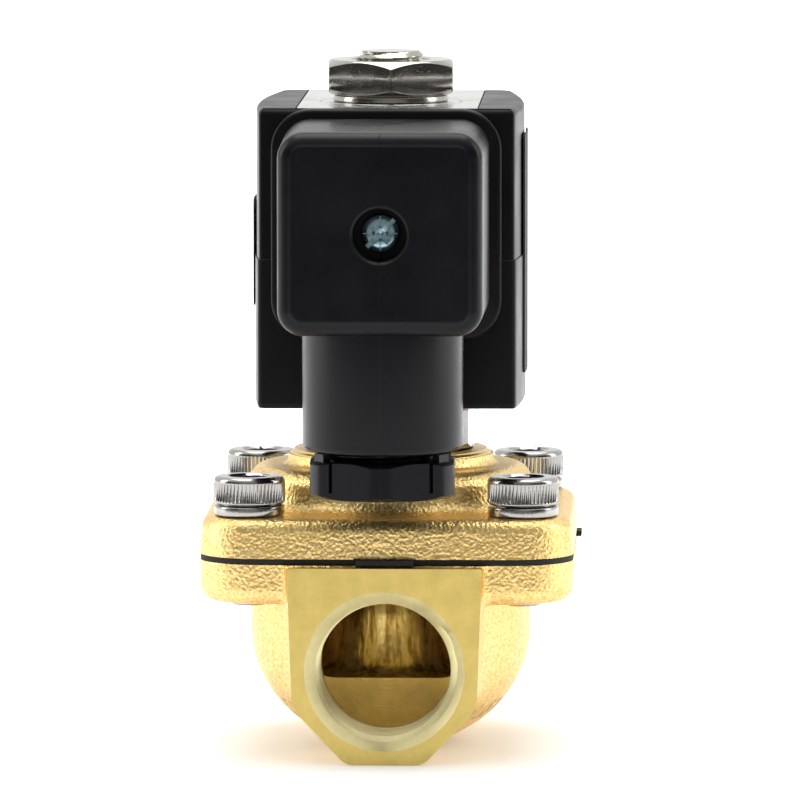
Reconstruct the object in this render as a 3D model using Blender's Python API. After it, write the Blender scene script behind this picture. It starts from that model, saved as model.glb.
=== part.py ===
"""Pilot-operated solenoid valve: brass body and cover, diaphragm, armature tube, coil and connector.

Metres, +Z up along the armature tube. The origin is the centre of the foot under the body, on the
valve's axis. The inlet port and the connector face -Y.
"""

from math import cos, pi, radians, sin

import bpy
from mathutils import Vector

MM = 0.001

# ---------------------------------------------------------------- fits
CONTACT = 0.05 * MM          # between faces that rest on each other
RUNNING = 0.15 * MM          # round a pin in its hole, or a block in its slot
THREAD_CLEARANCE = 0.15 * MM  # round a plain shank in the hole that stands for its thread
BEYOND = 1.0 * MM            # how far a cutting or joining tool runs past the face it meets
BREAK = 0.6 * MM             # a broken edge on a turned piece

# ---------------------------------------------------------------- valve body
FLANGE_SIZE = 52.8 * MM
FLANGE_CORNER = 9.0 * MM
BODY_FLANGE_THICK = 5.75 * MM
DECK_Z = 28.05 * MM
PORT_AXIS_Z = 13.2 * MM
PORT_PROUD = 1.6 * MM
PORT_THREAD_R = 9.315 * MM
PORT_CHAMFER_R = 11.25 * MM
PORT_REACH = 3.0 * MM        # how far the bore's end wall lies inside the chamber
FOOT_HALF_WIDTH = 5.4 * MM
BAR_KNEE_Z = 8.0 * MM
BAR_KNEE_HALF_WIDTH = 13.0 * MM
BAR_TOP_HALF_WIDTH = 13.7 * MM
BAR_TOP_DROP = 0.3 * MM
BOWL_WALL = 3.5 * MM
BOWL_BEND_R = 17.0 * MM
SEAT_R = 9.5 * MM
SEAT_BORE_R = 7.0 * MM
SEAT_Z = 25.4 * MM
CHAMBER_R = 16.5 * MM
CHAMBER_FLOOR_Z = 20.0 * MM
POCKET_DEPTH = 9.4 * MM
POCKET_BACK_Y = -2.0 * MM
PASSAGE_R = 7.0 * MM
PASSAGE_AXIS_Z = 11.5 * MM
PILOT_OFFSET = 1.5 * MM      # from the chamber's wall to the drilling's axis
PILOT_R = 0.8 * MM

# ---------------------------------------------------------------- cover screws
SCREW_EDGE = 7.1 * MM
SCREW_R = 2.9 * MM
SCREW_HOLE_CLEARANCE = 0.4 * MM
SCREW_HEAD_R = 5.05 * MM
SCREW_HEAD_HEIGHT = 4.0 * MM
SCREW_SOCKET_FLATS = 5.0 * MM
SCREW_SOCKET_DEPTH = 2.0 * MM
SCREW_TIP_PROUD = 0.5 * MM
WASHER_R = 4.95 * MM
WASHER_THICK = 1.5 * MM
WASHER_SPLIT = radians(14)

# ---------------------------------------------------------------- diaphragm
DIAPHRAGM_THICK = 0.75 * MM
DIAPHRAGM_TAB_WIDTH = 8.3 * MM
DIAPHRAGM_TAB_PROUD = 1.2 * MM
DIAPHRAGM_SIDE_TAB_WIDTH = 4.5 * MM
DIAPHRAGM_SIDE_TAB_PROUD = 0.8 * MM
DIAPHRAGM_SIDE_TAB_Y = 14.5 * MM
DIAPHRAGM_MARGIN = 0.1 * MM
BLEED_R = 0.5 * MM
BLEED_OFFSET = 13.0 * MM
MEMBRANE_FLAT_R = 11.3 * MM
RIVET_R = 2.0 * MM
RIVET_HEAD_R = 3.6 * MM
RIVET_HEAD_HEIGHT = 1.0 * MM
UPPER_PLATE_R = 10.5 * MM
UPPER_PLATE_THICK = 1.2 * MM
LOWER_PLATE_R = 6.0 * MM
LOWER_PLATE_THICK = 1.4 * MM
DIAPHRAGM_SPRING_R = 6.5 * MM
DIAPHRAGM_SPRING_WIRE_R = 0.45 * MM
DIAPHRAGM_SPRING_TURNS = 4

# ---------------------------------------------------------------- valve cover
COVER_FLANGE_THICK = 5.5 * MM
COVER_EDGE_R = 1.6 * MM
COVER_CHAMBER_HEIGHT = 7.6 * MM
DOME_WALL = 3.6 * MM
DOME_HEIGHT = 5.6 * MM
DOME_EDGE_R = 2.4 * MM
DOME_FOOT_FILLET = 1.8 * MM
COLLAR_R = 14.6 * MM
COLLAR_HEIGHT = 2.2 * MM
COLLAR_CHAMFER = 0.9 * MM
SPIGOT_R = 10.0 * MM
SPIGOT_DEPTH = 2.4 * MM
NOZZLE_R = 2.2 * MM
NOZZLE_TIP_R = 1.4 * MM
NOZZLE_HEIGHT = 2.1 * MM
ORIFICE_R = 0.7 * MM
TRANSFER_HOLE_R = 1.0 * MM
TRANSFER_HOLE_OFFSET = 5.0 * MM
O_RING_WIRE_R = 0.8 * MM

# ---------------------------------------------------------------- armature tube and core
TUBE_R = 7.0 * MM
TUBE_WALL = 0.5 * MM
HEX_FLATS = 23.6 * MM
HEX_TURN = radians(-4.5)
HEX_HEIGHT = 7.0 * MM
TUBE_LIP = 0.9 * MM
STUD_R = 5.0 * MM
STUD_CHAMFER = 1.0 * MM
STUD_LENGTH = 7.4 * MM
CORE_LENGTH = 17.2 * MM
SHADING_RING_R = 5.3 * MM
SHADING_RING_WALL = 1.1 * MM
SHADING_RING_DEPTH = 1.1 * MM
PLUNGER_STROKE = 1.8 * MM
PLUNGER_CLEARANCE = 0.2 * MM
SEAL_R = 3.0 * MM
SEAL_THICK = 1.6 * MM
SEAL_PROUD = 0.35 * MM
PLUNGER_BORE_R = 2.9 * MM
PLUNGER_BORE_DEPTH = 12.0 * MM
PLUNGER_SPRING_R = 2.3 * MM
PLUNGER_SPRING_WIRE_R = 0.25 * MM
PLUNGER_SPRING_TURNS = 7

# ---------------------------------------------------------------- coil
COIL_HEIGHT = 42.4 * MM
COIL_FRONT_Y = -18.0 * MM
COIL_REAR_Y = 27.0 * MM
COIL_FRONT_HALF_WIDTH = 18.2 * MM
COIL_REAR_HALF_WIDTH = 17.4 * MM
COIL_BULGE = 1.4 * MM
COIL_FRONT_CORNER = 0.8 * MM
COIL_REAR_CORNER = 3.0 * MM
COIL_EDGE_R = 1.0 * MM
COIL_PARTING_HEIGHT = 21.1 * MM
COIL_PARTING_STEP = 0.2 * MM
YOKE_HALF_WIDTH = 12.75 * MM
YOKE_THICK = 1.6 * MM
COIL_END_WALL = 0.85 * MM
SLEEVE_R = 10.0 * MM
SLEEVE_LENGTH = 11.5 * MM
BOBBIN_WALL = 1.05 * MM
BOBBIN_FLANGE_R = 15.2 * MM
BOBBIN_FLANGE_THICK = 1.0 * MM
WINDING_DEPTH = 3.4 * MM
PLATFORM_SIZE = 32.4 * MM
PLATFORM_CORNER = 5.5 * MM
PLATFORM_PROUD = 2.2 * MM
LABEL_THICK = 0.25 * MM
LABEL_DEPTH = 22.0 * MM
RATING_LABEL_HEIGHT = 34.0 * MM
SIDE_LABEL_HEIGHT = 15.0 * MM

# ---------------------------------------------------------------- nut on top
TOP_WASHER_R = 8.2 * MM
TOP_WASHER_THICK = 0.95 * MM
NUT_FLATS = 17.7 * MM
NUT_HEIGHT = 4.95 * MM
NUT_TURN = radians(2)
NUT_RING_WIRE_R = 0.6 * MM

# ---------------------------------------------------------------- connector
CONNECTOR_WIDTH = 29.1 * MM
CONNECTOR_HEIGHT = 28.9 * MM
CONNECTOR_CORNER = 4.0 * MM
CONNECTOR_EDGE_R = 1.8 * MM
CONNECTOR_DEPTH = 25.3 * MM
CONNECTOR_WALL = 1.6 * MM
CONNECTOR_FACE_WALL = 2.4 * MM
CONNECTOR_RISE = 0.5 * MM    # above the middle of the platform
GASKET_THICK = 0.9 * MM
GASKET_MARGIN = 0.4 * MM
FACE_RECESS_R = 3.75 * MM
FACE_RECESS_DEPTH = 5.4 * MM
RECESS_BOSS_WALL = 1.6 * MM
GLAND_Y = -33.5 * MM
BARREL_R = 11.15 * MM
BARREL_LENGTH = 16.3 * MM
NECK_R = 8.55 * MM
NECK_LENGTH = 5.2 * MM
CABLE_WAY_R = 7.0 * MM
GLAND_NUT_FLATS = 20.0 * MM
GLAND_NUT_HEIGHT = 5.25 * MM
GLAND_NUT_TAB = 1.0 * MM
GLAND_NUT_GAP = 0.25 * MM
GLAND_NUT_FLOOR = 1.2 * MM
GLAND_NUT_HOLE_R = 5.0 * MM
GLAND_SEAL_BORE_R = 3.4 * MM
GLAND_RING_THICK = 0.8 * MM
BLOCK_DEPTH = 14.0 * MM
BLOCK_CLEARANCE = 0.3 * MM
BLADE_WIDTH = 6.3 * MM
BLADE_THICK = 0.8 * MM
BLADE_PROUD = 8.5 * MM
BLADE_ROOT = 1.7 * MM
BLADE_SPACING = 18.0 * MM
EARTH_RISE = 5.45 * MM       # above the connector's lower edge
CONTACT_WIDTH = 8.0 * MM
CONTACT_HEIGHT = 3.6 * MM
CONTACT_LENGTH = 6.0 * MM
CLAMP_SCREW_R = 1.5 * MM
CLAMP_SCREW_LENGTH = 3.0 * MM
FIXING_SCREW_R = 1.4 * MM
FIXING_SCREW_HEAD_R = 2.7 * MM
FIXING_SCREW_HEAD = 1.9 * MM
DRIVER_SLOT_WIDTH = 0.6 * MM
DRIVER_SLOT_DEPTH = 1.0 * MM
INSERT_R = 2.3 * MM
INSERT_LENGTH = 3.2 * MM

# ---------------------------------------------------------------- levels that follow
PORT_FACE_Y = FLANGE_SIZE / 2 + PORT_PROUD
PORT_END_Y = CHAMBER_R - PORT_REACH
BOWL_R = CHAMBER_R + BOWL_WALL
PILOT_Y = CHAMBER_R + PILOT_OFFSET
SCREW_PITCH = FLANGE_SIZE - 2 * SCREW_EDGE
SCREW_HOLE_R = SCREW_R + SCREW_HOLE_CLEARANCE
DOME_R = CHAMBER_R + DOME_WALL
FLANGE_LOW_Z = DECK_Z - BODY_FLANGE_THICK
RIM_LOW_Z = DECK_Z + CONTACT
RIM_TOP_Z = RIM_LOW_Z + DIAPHRAGM_THICK
COVER_LOW_Z = RIM_TOP_Z + CONTACT
COVER_TOP_Z = COVER_LOW_Z + COVER_FLANGE_THICK
ROOF_Z = COVER_LOW_Z + COVER_CHAMBER_HEIGHT
DOME_TOP_Z = COVER_TOP_Z + DOME_HEIGHT
COLLAR_TOP_Z = DOME_TOP_Z + COLLAR_HEIGHT
SOCKET_Z = COLLAR_TOP_Z - SPIGOT_DEPTH - CONTACT
NOZZLE_TOP_Z = SOCKET_Z + NOZZLE_HEIGHT
HEX_LOW_Z = COLLAR_TOP_Z + CONTACT
HEX_TOP_Z = HEX_LOW_Z + HEX_HEIGHT
COIL_LOW_Z = HEX_TOP_Z + CONTACT
COIL_TOP_Z = COIL_LOW_Z + COIL_HEIGHT
TOP_WASHER_Z = COIL_TOP_Z + CONTACT
NUT_LOW_Z = TOP_WASHER_Z + TOP_WASHER_THICK + CONTACT
NUT_TOP_Z = NUT_LOW_Z + NUT_HEIGHT
TUBE_TOP_Z = COIL_TOP_Z - 4 * CONTACT
TUBE_BORE_R = TUBE_R - TUBE_WALL
CORE_TOP_Z = TUBE_TOP_Z - TUBE_LIP - CONTACT
CORE_LOW_Z = CORE_TOP_Z - CORE_LENGTH
STUD_TOP_Z = TUBE_TOP_Z + STUD_LENGTH
SEAL_LOW_Z = NOZZLE_TOP_Z + CONTACT
PLUNGER_LOW_Z = SEAL_LOW_Z + SEAL_PROUD
PLUNGER_TOP_Z = CORE_LOW_Z - PLUNGER_STROKE - CONTACT
MEMBRANE_LOW_Z = SEAT_Z + CONTACT
MEMBRANE_TOP_Z = MEMBRANE_LOW_Z + DIAPHRAGM_THICK
UPPER_PLATE_Z = MEMBRANE_TOP_Z + CONTACT
LOWER_PLATE_TOP_Z = MEMBRANE_LOW_Z - CONTACT
POCKET_FLOOR_Z = CHAMBER_FLOOR_Z - POCKET_DEPTH
SLOT_FRONT_Y = COIL_FRONT_Y + COIL_END_WALL
SLOT_REAR_Y = COIL_REAR_Y - COIL_END_WALL
YOKE_LOW_Z = COIL_LOW_Z
YOKE_TOP_Z = COIL_TOP_Z
SLEEVE_BORE_R = TUBE_R + RUNNING
BOBBIN_BORE_R = SLEEVE_R + RUNNING
BOBBIN_R = BOBBIN_BORE_R + BOBBIN_WALL
BOBBIN_LOW_Z = YOKE_LOW_Z + YOKE_THICK + CONTACT
BOBBIN_TOP_Z = YOKE_TOP_Z - YOKE_THICK - CONTACT
PLATFORM_Y = COIL_FRONT_Y - PLATFORM_PROUD
PLATFORM_Z = COIL_TOP_Z - PLATFORM_SIZE / 2
CONNECTOR_Z = PLATFORM_Z + CONNECTOR_RISE
GASKET_Y = PLATFORM_Y - CONTACT
CONNECTOR_BACK_Y = GASKET_Y - GASKET_THICK - CONTACT
CONNECTOR_FACE_Y = CONNECTOR_BACK_Y - CONNECTOR_DEPTH
CAVITY_END_Y = CONNECTOR_FACE_Y + CONNECTOR_FACE_WALL
RECESS_FLOOR_Y = CONNECTOR_FACE_Y + FACE_RECESS_DEPTH
BOSS_END_Y = RECESS_FLOOR_Y + RECESS_BOSS_WALL
BLOCK_BACK_Y = CONNECTOR_BACK_Y - BLOCK_CLEARANCE
BLOCK_FRONT_Y = BLOCK_BACK_Y - BLOCK_DEPTH
CONNECTOR_LOW_Z = CONNECTOR_Z - CONNECTOR_HEIGHT / 2
BARREL_LOW_Z = CONNECTOR_LOW_Z - BARREL_LENGTH
NECK_LOW_Z = BARREL_LOW_Z - NECK_LENGTH
GLAND_NUT_TOP_Z = BARREL_LOW_Z - GLAND_NUT_TAB - GLAND_NUT_GAP
GLAND_NUT_LOW_Z = GLAND_NUT_TOP_Z - GLAND_NUT_HEIGHT
GLAND_RING_Z = GLAND_NUT_LOW_Z + GLAND_NUT_FLOOR + CONTACT
GLAND_SEAL_Z = GLAND_RING_Z + GLAND_RING_THICK + CONTACT
EARTH_Z = CONNECTOR_LOW_Z + EARTH_RISE
BLADE_TIP_Y = PLATFORM_Y - BLADE_PROUD

UPRIGHT = (0.0, 0.0, 0.0)
TO_FRONT = (pi / 2, 0.0, 0.0)   # local +Z points to -Y, local +Y points up
TO_REAR = (-pi / 2, 0.0, 0.0)   # local +Z points to +Y
CORNERS = [(-1, -1), (1, -1), (-1, 1), (1, 1)]


# ---------------------------------------------------------------- scene, materials, bodies
def clear_scene():
    for obj in list(bpy.data.objects):
        bpy.data.objects.remove(obj, do_unlink=True)


def material(name, colour, roughness, metallic=0.0):
    made = bpy.data.materials.new(name)
    made.use_nodes = True
    shader = made.node_tree.nodes["Principled BSDF"]
    shader.inputs["Base Color"].default_value = (*colour, 1.0)
    shader.inputs["Roughness"].default_value = roughness
    shader.inputs["Metallic"].default_value = metallic
    return made


def body(name, x=0.0, y=0.0):
    """An empty on the axis that its pieces move along or about."""
    empty = bpy.data.objects.new(name, None)
    empty.location = (x, y, 0.0)
    empty.empty_display_size = 0.01
    bpy.context.collection.objects.link(empty)
    return empty


clear_scene()

CAST_BRASS = material("cast_brass", (0.76, 0.53, 0.2), 0.42, 1.0)
TURNED_BRASS = material("turned_brass", (0.8, 0.6, 0.26), 0.25, 1.0)
RUBBER = material("rubber", (0.015, 0.015, 0.015), 0.75)
BRIGHT_STEEL = material("bright_steel", (0.66, 0.65, 0.62), 0.14, 1.0)
SATIN_STEEL = material("satin_steel", (0.6, 0.6, 0.6), 0.35, 1.0)
SPRING_STEEL = material("spring_steel", (0.5, 0.5, 0.5), 0.3, 1.0)
COPPER = material("copper", (0.72, 0.34, 0.2), 0.35, 1.0)
COIL_PLASTIC = material("coil_plastic", (0.012, 0.012, 0.013), 0.6)
CONNECTOR_PLASTIC = material("connector_plastic", (0.02, 0.021, 0.023), 0.38)
BOBBIN_PLASTIC = material("bobbin_plastic", (0.7, 0.68, 0.6), 0.5)
GASKET_RUBBER = material("gasket_rubber", (0.03, 0.03, 0.03), 0.8)
LABEL_FILM = material("label_film", (0.05, 0.05, 0.055), 0.3)

VALVE = body("valve_body_set")
DIAPHRAGM_SET = body("diaphragm_moving_set")
PLUNGER_SET = body("plunger_moving_set")
COIL = body("coil_moving_set")
NUT_RING_SET = body("nut_ring_set")
NUT_SET = body("nut_moving_set")
GLAND_RING_SET = body("gland_ring_set", y=GLAND_Y)
GLAND_NUT_SET = body("gland_nut_set", y=GLAND_Y)


# ---------------------------------------------------------------- outlines and loops
def arc(x, y, radius, start, end, steps):
    """Points along an arc, angles in degrees, both ends included."""
    angles = [radians(start + (end - start) * i / steps) for i in range(steps + 1)]
    return [(x + radius * cos(a), y + radius * sin(a)) for a in angles]


def rounded_rectangle(width, height, corner, steps=4, inset=0.0):
    """Counter-clockwise outline about the origin, moved inwards by inset."""
    x = width / 2 - corner
    y = height / 2 - corner
    radius = max(corner - inset, 0.01 * MM)
    points = arc(x, y, radius, 0, 90, steps) + arc(-x, y, radius, 90, 180, steps)
    return points + arc(-x, -y, radius, 180, 270, steps) + arc(x, -y, radius, 270, 360, steps)


def round_loop(radius, z, steps, turn=0.0):
    return [
        (radius * cos(turn + 2 * pi * i / steps), radius * sin(turn + 2 * pi * i / steps), z)
        for i in range(steps)
    ]


def hexagon_loop(across_flats, z, steps, turn=0.0):
    """A hexagon with flats towards +X and -X before its turn, sampled at even angles."""
    points = []
    for i in range(steps):
        angle = 2 * pi * i / steps
        from_flat = (angle + pi / 6) % (pi / 3) - pi / 6
        radius = across_flats / 2 / cos(from_flat)
        points.append((radius * cos(angle + turn), radius * sin(angle + turn), z))
    return points


def flat_loop(outline, z):
    return [(x, y, z) for x, y in outline]


def turned_loops(profile, steps, start=0.0):
    """Loops of a turned profile of (radius, z); a point on the axis is a pole."""
    return [round_loop(r, z, steps, start) if r > 0 else [(0.0, 0.0, z)] for r, z in profile]


# ---------------------------------------------------------------- solids
def solid(name, loops, finish, parent, at=(0.0, 0.0, 0.0), turn=UPRIGHT, ring=False):
    """Skins a row of loops. A ring joins its last loop to its first; otherwise the ends are capped."""
    verts = []
    rows = []
    for loop in loops:
        rows.append(list(range(len(verts), len(verts) + len(loop))))
        verts += loop
    faces = []
    pairs = list(zip(rows, rows[1:]))
    if ring:
        pairs.append((rows[-1], rows[0]))
    for low, high in pairs:
        count = max(len(low), len(high))
        for i in range(count):
            j = (i + 1) % count
            corners = (low[i % len(low)], low[j % len(low)], high[j % len(high)], high[i % len(high)])
            faces.append(list(dict.fromkeys(corners)))
    if not ring:
        faces += [row for row in (rows[0][::-1], rows[-1]) if len(row) > 1]
    mesh = bpy.data.meshes.new(name)
    mesh.from_pydata(verts, [], faces)
    point_outwards(mesh)
    mesh.materials.append(finish)
    mesh.shade_smooth()
    mesh.set_sharp_from_angle(angle=radians(35))
    return place(name, mesh, parent, at, turn)


def point_outwards(mesh):
    """Turns every face round if the mesh encloses a negative volume."""
    volume = 0.0
    for face in mesh.polygons:
        first, *rest = [mesh.vertices[i].co for i in face.vertices]
        for second, third in zip(rest, rest[1:]):
            volume += first.dot(second.cross(third))
    if volume < 0:
        mesh.flip_normals()


def place(name, mesh, parent, at, turn=UPRIGHT):
    """Puts a mesh at a world position under its body's empty."""
    obj = bpy.data.objects.new(name, mesh)
    bpy.context.collection.objects.link(obj)
    obj.parent = parent
    obj.location = Vector(at) - parent.location
    obj.rotation_euler = turn
    return obj


def prism(name, outline, low, high, finish, parent, at=(0.0, 0.0, 0.0), turn=UPRIGHT):
    return solid(name, [flat_loop(outline, low), flat_loop(outline, high)], finish, parent, at, turn)


def turned(name, profile, finish, parent, steps=32, at=(0.0, 0.0, 0.0), turn=UPRIGHT, start=0.0):
    """A lathe piece about its local Z; a profile that never meets the axis is a closed ring."""
    on_axis = any(r == 0 for r, _ in profile)
    loops = turned_loops(profile, steps, start)
    return solid(name, loops, finish, parent, at, turn, ring=not on_axis)


def block(name, low, high, finish, parent):
    """A box between two world corners."""
    outline = [(low[0], low[1]), (high[0], low[1]), (high[0], high[1]), (low[0], high[1])]
    return prism(name, outline, low[2], high[2], finish, parent)


def spring(name, radius, wire_r, low, high, turns, parent, turn_steps=12, wire_steps=5):
    """A coil spring of round wire whose end coils stand CONTACT off both faces."""
    first = low + wire_r + CONTACT
    rise = high - low - 2 * (wire_r + CONTACT)
    loops = []
    for i in range(turns * turn_steps + 1):
        angle = 2 * pi * i / turn_steps
        z = first + rise * i / (turns * turn_steps)
        section = [2 * pi * k / wire_steps for k in range(wire_steps)]
        reach = [(radius + wire_r * cos(a), z + wire_r * sin(a)) for a in section]
        loops.append([(r * cos(angle), r * sin(angle), height) for r, height in reach])
    return solid(name, loops, SPRING_STEEL, parent)


def shape_with(target, tool, operation="DIFFERENCE"):
    """Cuts, joins or trims the target with a hidden tool that stays live on it."""
    tool.hide_render = True
    tool.display_type = "WIRE"
    modifier = target.modifiers.new(tool.name, "BOOLEAN")
    modifier.operation = operation
    modifier.object = tool


def drill(target, name, radius, low, high, at=(0.0, 0.0, 0.0), turn=UPRIGHT, steps=16):
    """A plain round hole along local Z. Its corners miss the X and Y planes that lathe edges lie in."""
    profile = [(0.0, low), (radius, low), (radius, high), (0.0, high)]
    tool = turned(name, profile, SATIN_STEEL, target.parent, steps, at, turn, start=pi / steps)
    shape_with(target, tool)


def mill(target, name, low, high):
    """A rectangular slot between two world corners."""
    shape_with(target, block(name, low, high, SATIN_STEEL, target.parent))


def screw_places():
    return [(sx * SCREW_PITCH / 2, sy * SCREW_PITCH / 2) for sx, sy in CORNERS]


# ---------------------------------------------------------------- valve body
def make_valve_body():
    flange = []
    for z, inset in ((FLANGE_LOW_Z, 1.2 * MM), (FLANGE_LOW_Z + 1.2 * MM, 0.35 * MM), (DECK_Z, 0.0)):
        outline = rounded_rectangle(FLANGE_SIZE, FLANGE_SIZE, FLANGE_CORNER, inset=inset)
        flange.append(flat_loop(outline, z))
    made = solid("valve_body", flange, CAST_BRASS, VALVE)

    right = [
        (FOOT_HALF_WIDTH, 0.0),
        (BAR_KNEE_HALF_WIDTH, BAR_KNEE_Z),
        (BAR_TOP_HALF_WIDTH, DECK_Z - BAR_TOP_DROP),
    ]
    left = [(-x, z) for x, z in reversed(right)]
    bar = prism("port_bar", right + left, -PORT_FACE_Y, PORT_FACE_Y, CAST_BRASS, VALVE, turn=TO_FRONT)
    shape_with(made, bar, "UNION")

    bend = arc(BOWL_R - BOWL_BEND_R, BOWL_BEND_R, BOWL_BEND_R, -90, 0, 5)
    bowl = [(0.0, 0.0)] + bend + [(BOWL_R, DECK_Z - 2 * BEYOND), (0.0, DECK_Z - 2 * BEYOND)]
    shape_with(made, turned("bowl", bowl, CAST_BRASS, VALVE, 28), "UNION")

    above = DECK_Z + 2 * BEYOND
    seat_bore_low = PASSAGE_AXIS_Z - PASSAGE_R
    chamber = [
        (0.0, seat_bore_low),
        (SEAT_BORE_R, seat_bore_low),
        (SEAT_BORE_R, SEAT_Z),
        (SEAT_R - BREAK, SEAT_Z),
        (SEAT_R, SEAT_Z - BREAK),
        (SEAT_R, CHAMBER_FLOOR_Z),
        (CHAMBER_R, CHAMBER_FLOOR_Z),
        (CHAMBER_R, above),
        (0.0, above),
    ]
    shape_with(made, turned("cut_chamber", chamber, CAST_BRASS, VALVE, 28))

    half_angle = 80
    outer = arc(0.0, 0.0, CHAMBER_R - 0.1 * MM, -90 - half_angle, -90 + half_angle, 10)
    inner = arc(0.0, 0.0, SEAT_R + 0.05 * MM, -90 + half_angle, -90 - half_angle, 10)
    pocket = [(x, y) for x, y in outer if y < POCKET_BACK_Y] + [(x, y) for x, y in inner if y < POCKET_BACK_Y]
    inlet_pocket = prism(
        "cut_inlet_pocket", pocket, POCKET_FLOOR_Z, CHAMBER_FLOOR_Z + BEYOND, CAST_BRASS, VALVE
    )
    shape_with(made, inlet_pocket)

    for name, facing in (("cut_inlet_port", TO_FRONT), ("cut_outlet_port", TO_REAR)):
        chamfer = PORT_CHAMFER_R - PORT_THREAD_R
        port = [
            (0.0, PORT_END_Y),
            (PORT_THREAD_R, PORT_END_Y),
            (PORT_THREAD_R, PORT_FACE_Y - chamfer),
            (PORT_CHAMFER_R, PORT_FACE_Y),
            (PORT_CHAMFER_R, PORT_FACE_Y + BEYOND),
            (0.0, PORT_FACE_Y + BEYOND),
        ]
        tool = turned(name, port, CAST_BRASS, VALVE, 28, (0.0, 0.0, PORT_AXIS_Z), facing)
        shape_with(made, tool)

    drill(made, "cut_outlet_way", PASSAGE_R, 0.0, PORT_END_Y + BEYOND,
          (0.0, 0.0, PASSAGE_AXIS_Z), TO_REAR, steps=20)
    for i, (x, y) in enumerate(screw_places()):
        drill(made, f"cut_tapping_{i}", SCREW_R + THREAD_CLEARANCE, FLANGE_LOW_Z - BEYOND, above,
              (x, y, 0.0), steps=12)
    drill(made, "cut_body_pilot", PILOT_R, PORT_AXIS_Z, above, (0.0, PILOT_Y, 0.0), steps=8)


# ---------------------------------------------------------------- diaphragm and what moves with it
def diaphragm_outline():
    """The flange's outline with a tab in the middle of the front and a small one on the right."""
    steps = 4
    edge = FLANGE_SIZE / 2 - DIAPHRAGM_MARGIN
    inset = DIAPHRAGM_MARGIN
    outline = rounded_rectangle(FLANGE_SIZE, FLANGE_SIZE, FLANGE_CORNER, steps, inset)
    left_half = outline[: 3 * (steps + 1)]
    right_front = outline[3 * (steps + 1):]
    half = DIAPHRAGM_TAB_WIDTH / 2
    proud = edge + DIAPHRAGM_TAB_PROUD
    front_tab = [(-half, -edge), (-half, -proud), (half, -proud), (half, -edge)]
    half = DIAPHRAGM_SIDE_TAB_WIDTH / 2
    proud = edge + DIAPHRAGM_SIDE_TAB_PROUD
    y = DIAPHRAGM_SIDE_TAB_Y
    side_tab = [(edge, y - half), (proud, y - half), (proud, y + half), (edge, y + half)]
    return left_half + front_tab + right_front + side_tab


def make_diaphragm():
    hole = RIVET_R + RUNNING
    slope_end = CHAMBER_R - 0.3 * MM
    reach = FLANGE_SIZE
    membrane = [
        (hole, MEMBRANE_LOW_Z),
        (MEMBRANE_FLAT_R, MEMBRANE_LOW_Z),
        (slope_end, RIM_LOW_Z),
        (reach, RIM_LOW_Z),
        (reach, RIM_TOP_Z),
        (slope_end - 0.4 * MM, RIM_TOP_Z),
        (MEMBRANE_FLAT_R - 0.4 * MM, MEMBRANE_TOP_Z),
        (hole, MEMBRANE_TOP_Z),
    ]
    made = turned("diaphragm", membrane, RUBBER, VALVE, 28)
    trim = prism("diaphragm_outline", diaphragm_outline(), SEAT_Z - 5 * MM, COVER_TOP_Z, RUBBER, VALVE)
    shape_with(made, trim, "INTERSECT")

    low = SEAT_Z - 5 * MM
    for i, (x, y) in enumerate(screw_places()):
        drill(made, f"cut_rim_hole_{i}", SCREW_HOLE_R, low, COVER_TOP_Z, (x, y, 0.0), steps=12)
    drill(made, "cut_rim_pilot", PILOT_R + 0.2 * MM, low, COVER_TOP_Z, (0.0, PILOT_Y, 0.0), steps=8)
    drill(made, "cut_bleed", BLEED_R, low, COVER_TOP_Z, (0.0, -BLEED_OFFSET, 0.0), steps=8)


def plate(name, radius, low, high, finish):
    hole = RIVET_R + RUNNING
    bevel = 0.3 * MM
    profile = [(hole, low), (radius - bevel, low), (radius, low + bevel), (radius, high), (hole, high)]
    turned(name, profile, finish, DIAPHRAGM_SET, 20)


def make_diaphragm_set():
    upper_top = UPPER_PLATE_Z + UPPER_PLATE_THICK
    lower_low = LOWER_PLATE_TOP_Z - LOWER_PLATE_THICK
    plate("diaphragm_upper_plate", UPPER_PLATE_R, UPPER_PLATE_Z, upper_top, SATIN_STEEL)
    plate("diaphragm_lower_plate", LOWER_PLATE_R, lower_low, LOWER_PLATE_TOP_Z, TURNED_BRASS)
    rivet = [
        (0.0, lower_low - CONTACT - RIVET_HEAD_HEIGHT),
        (RIVET_HEAD_R, lower_low - CONTACT - RIVET_HEAD_HEIGHT),
        (RIVET_HEAD_R, lower_low - CONTACT),
        (RIVET_R, lower_low - CONTACT),
        (RIVET_R, upper_top + CONTACT),
        (RIVET_HEAD_R, upper_top + CONTACT),
        (RIVET_HEAD_R - BREAK, upper_top + CONTACT + RIVET_HEAD_HEIGHT),
        (0.0, upper_top + CONTACT + RIVET_HEAD_HEIGHT),
    ]
    turned("diaphragm_rivet", rivet, TURNED_BRASS, DIAPHRAGM_SET, 16)
    spring("diaphragm_spring", DIAPHRAGM_SPRING_R, DIAPHRAGM_SPRING_WIRE_R, upper_top, ROOF_Z,
           DIAPHRAGM_SPRING_TURNS, VALVE)


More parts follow.
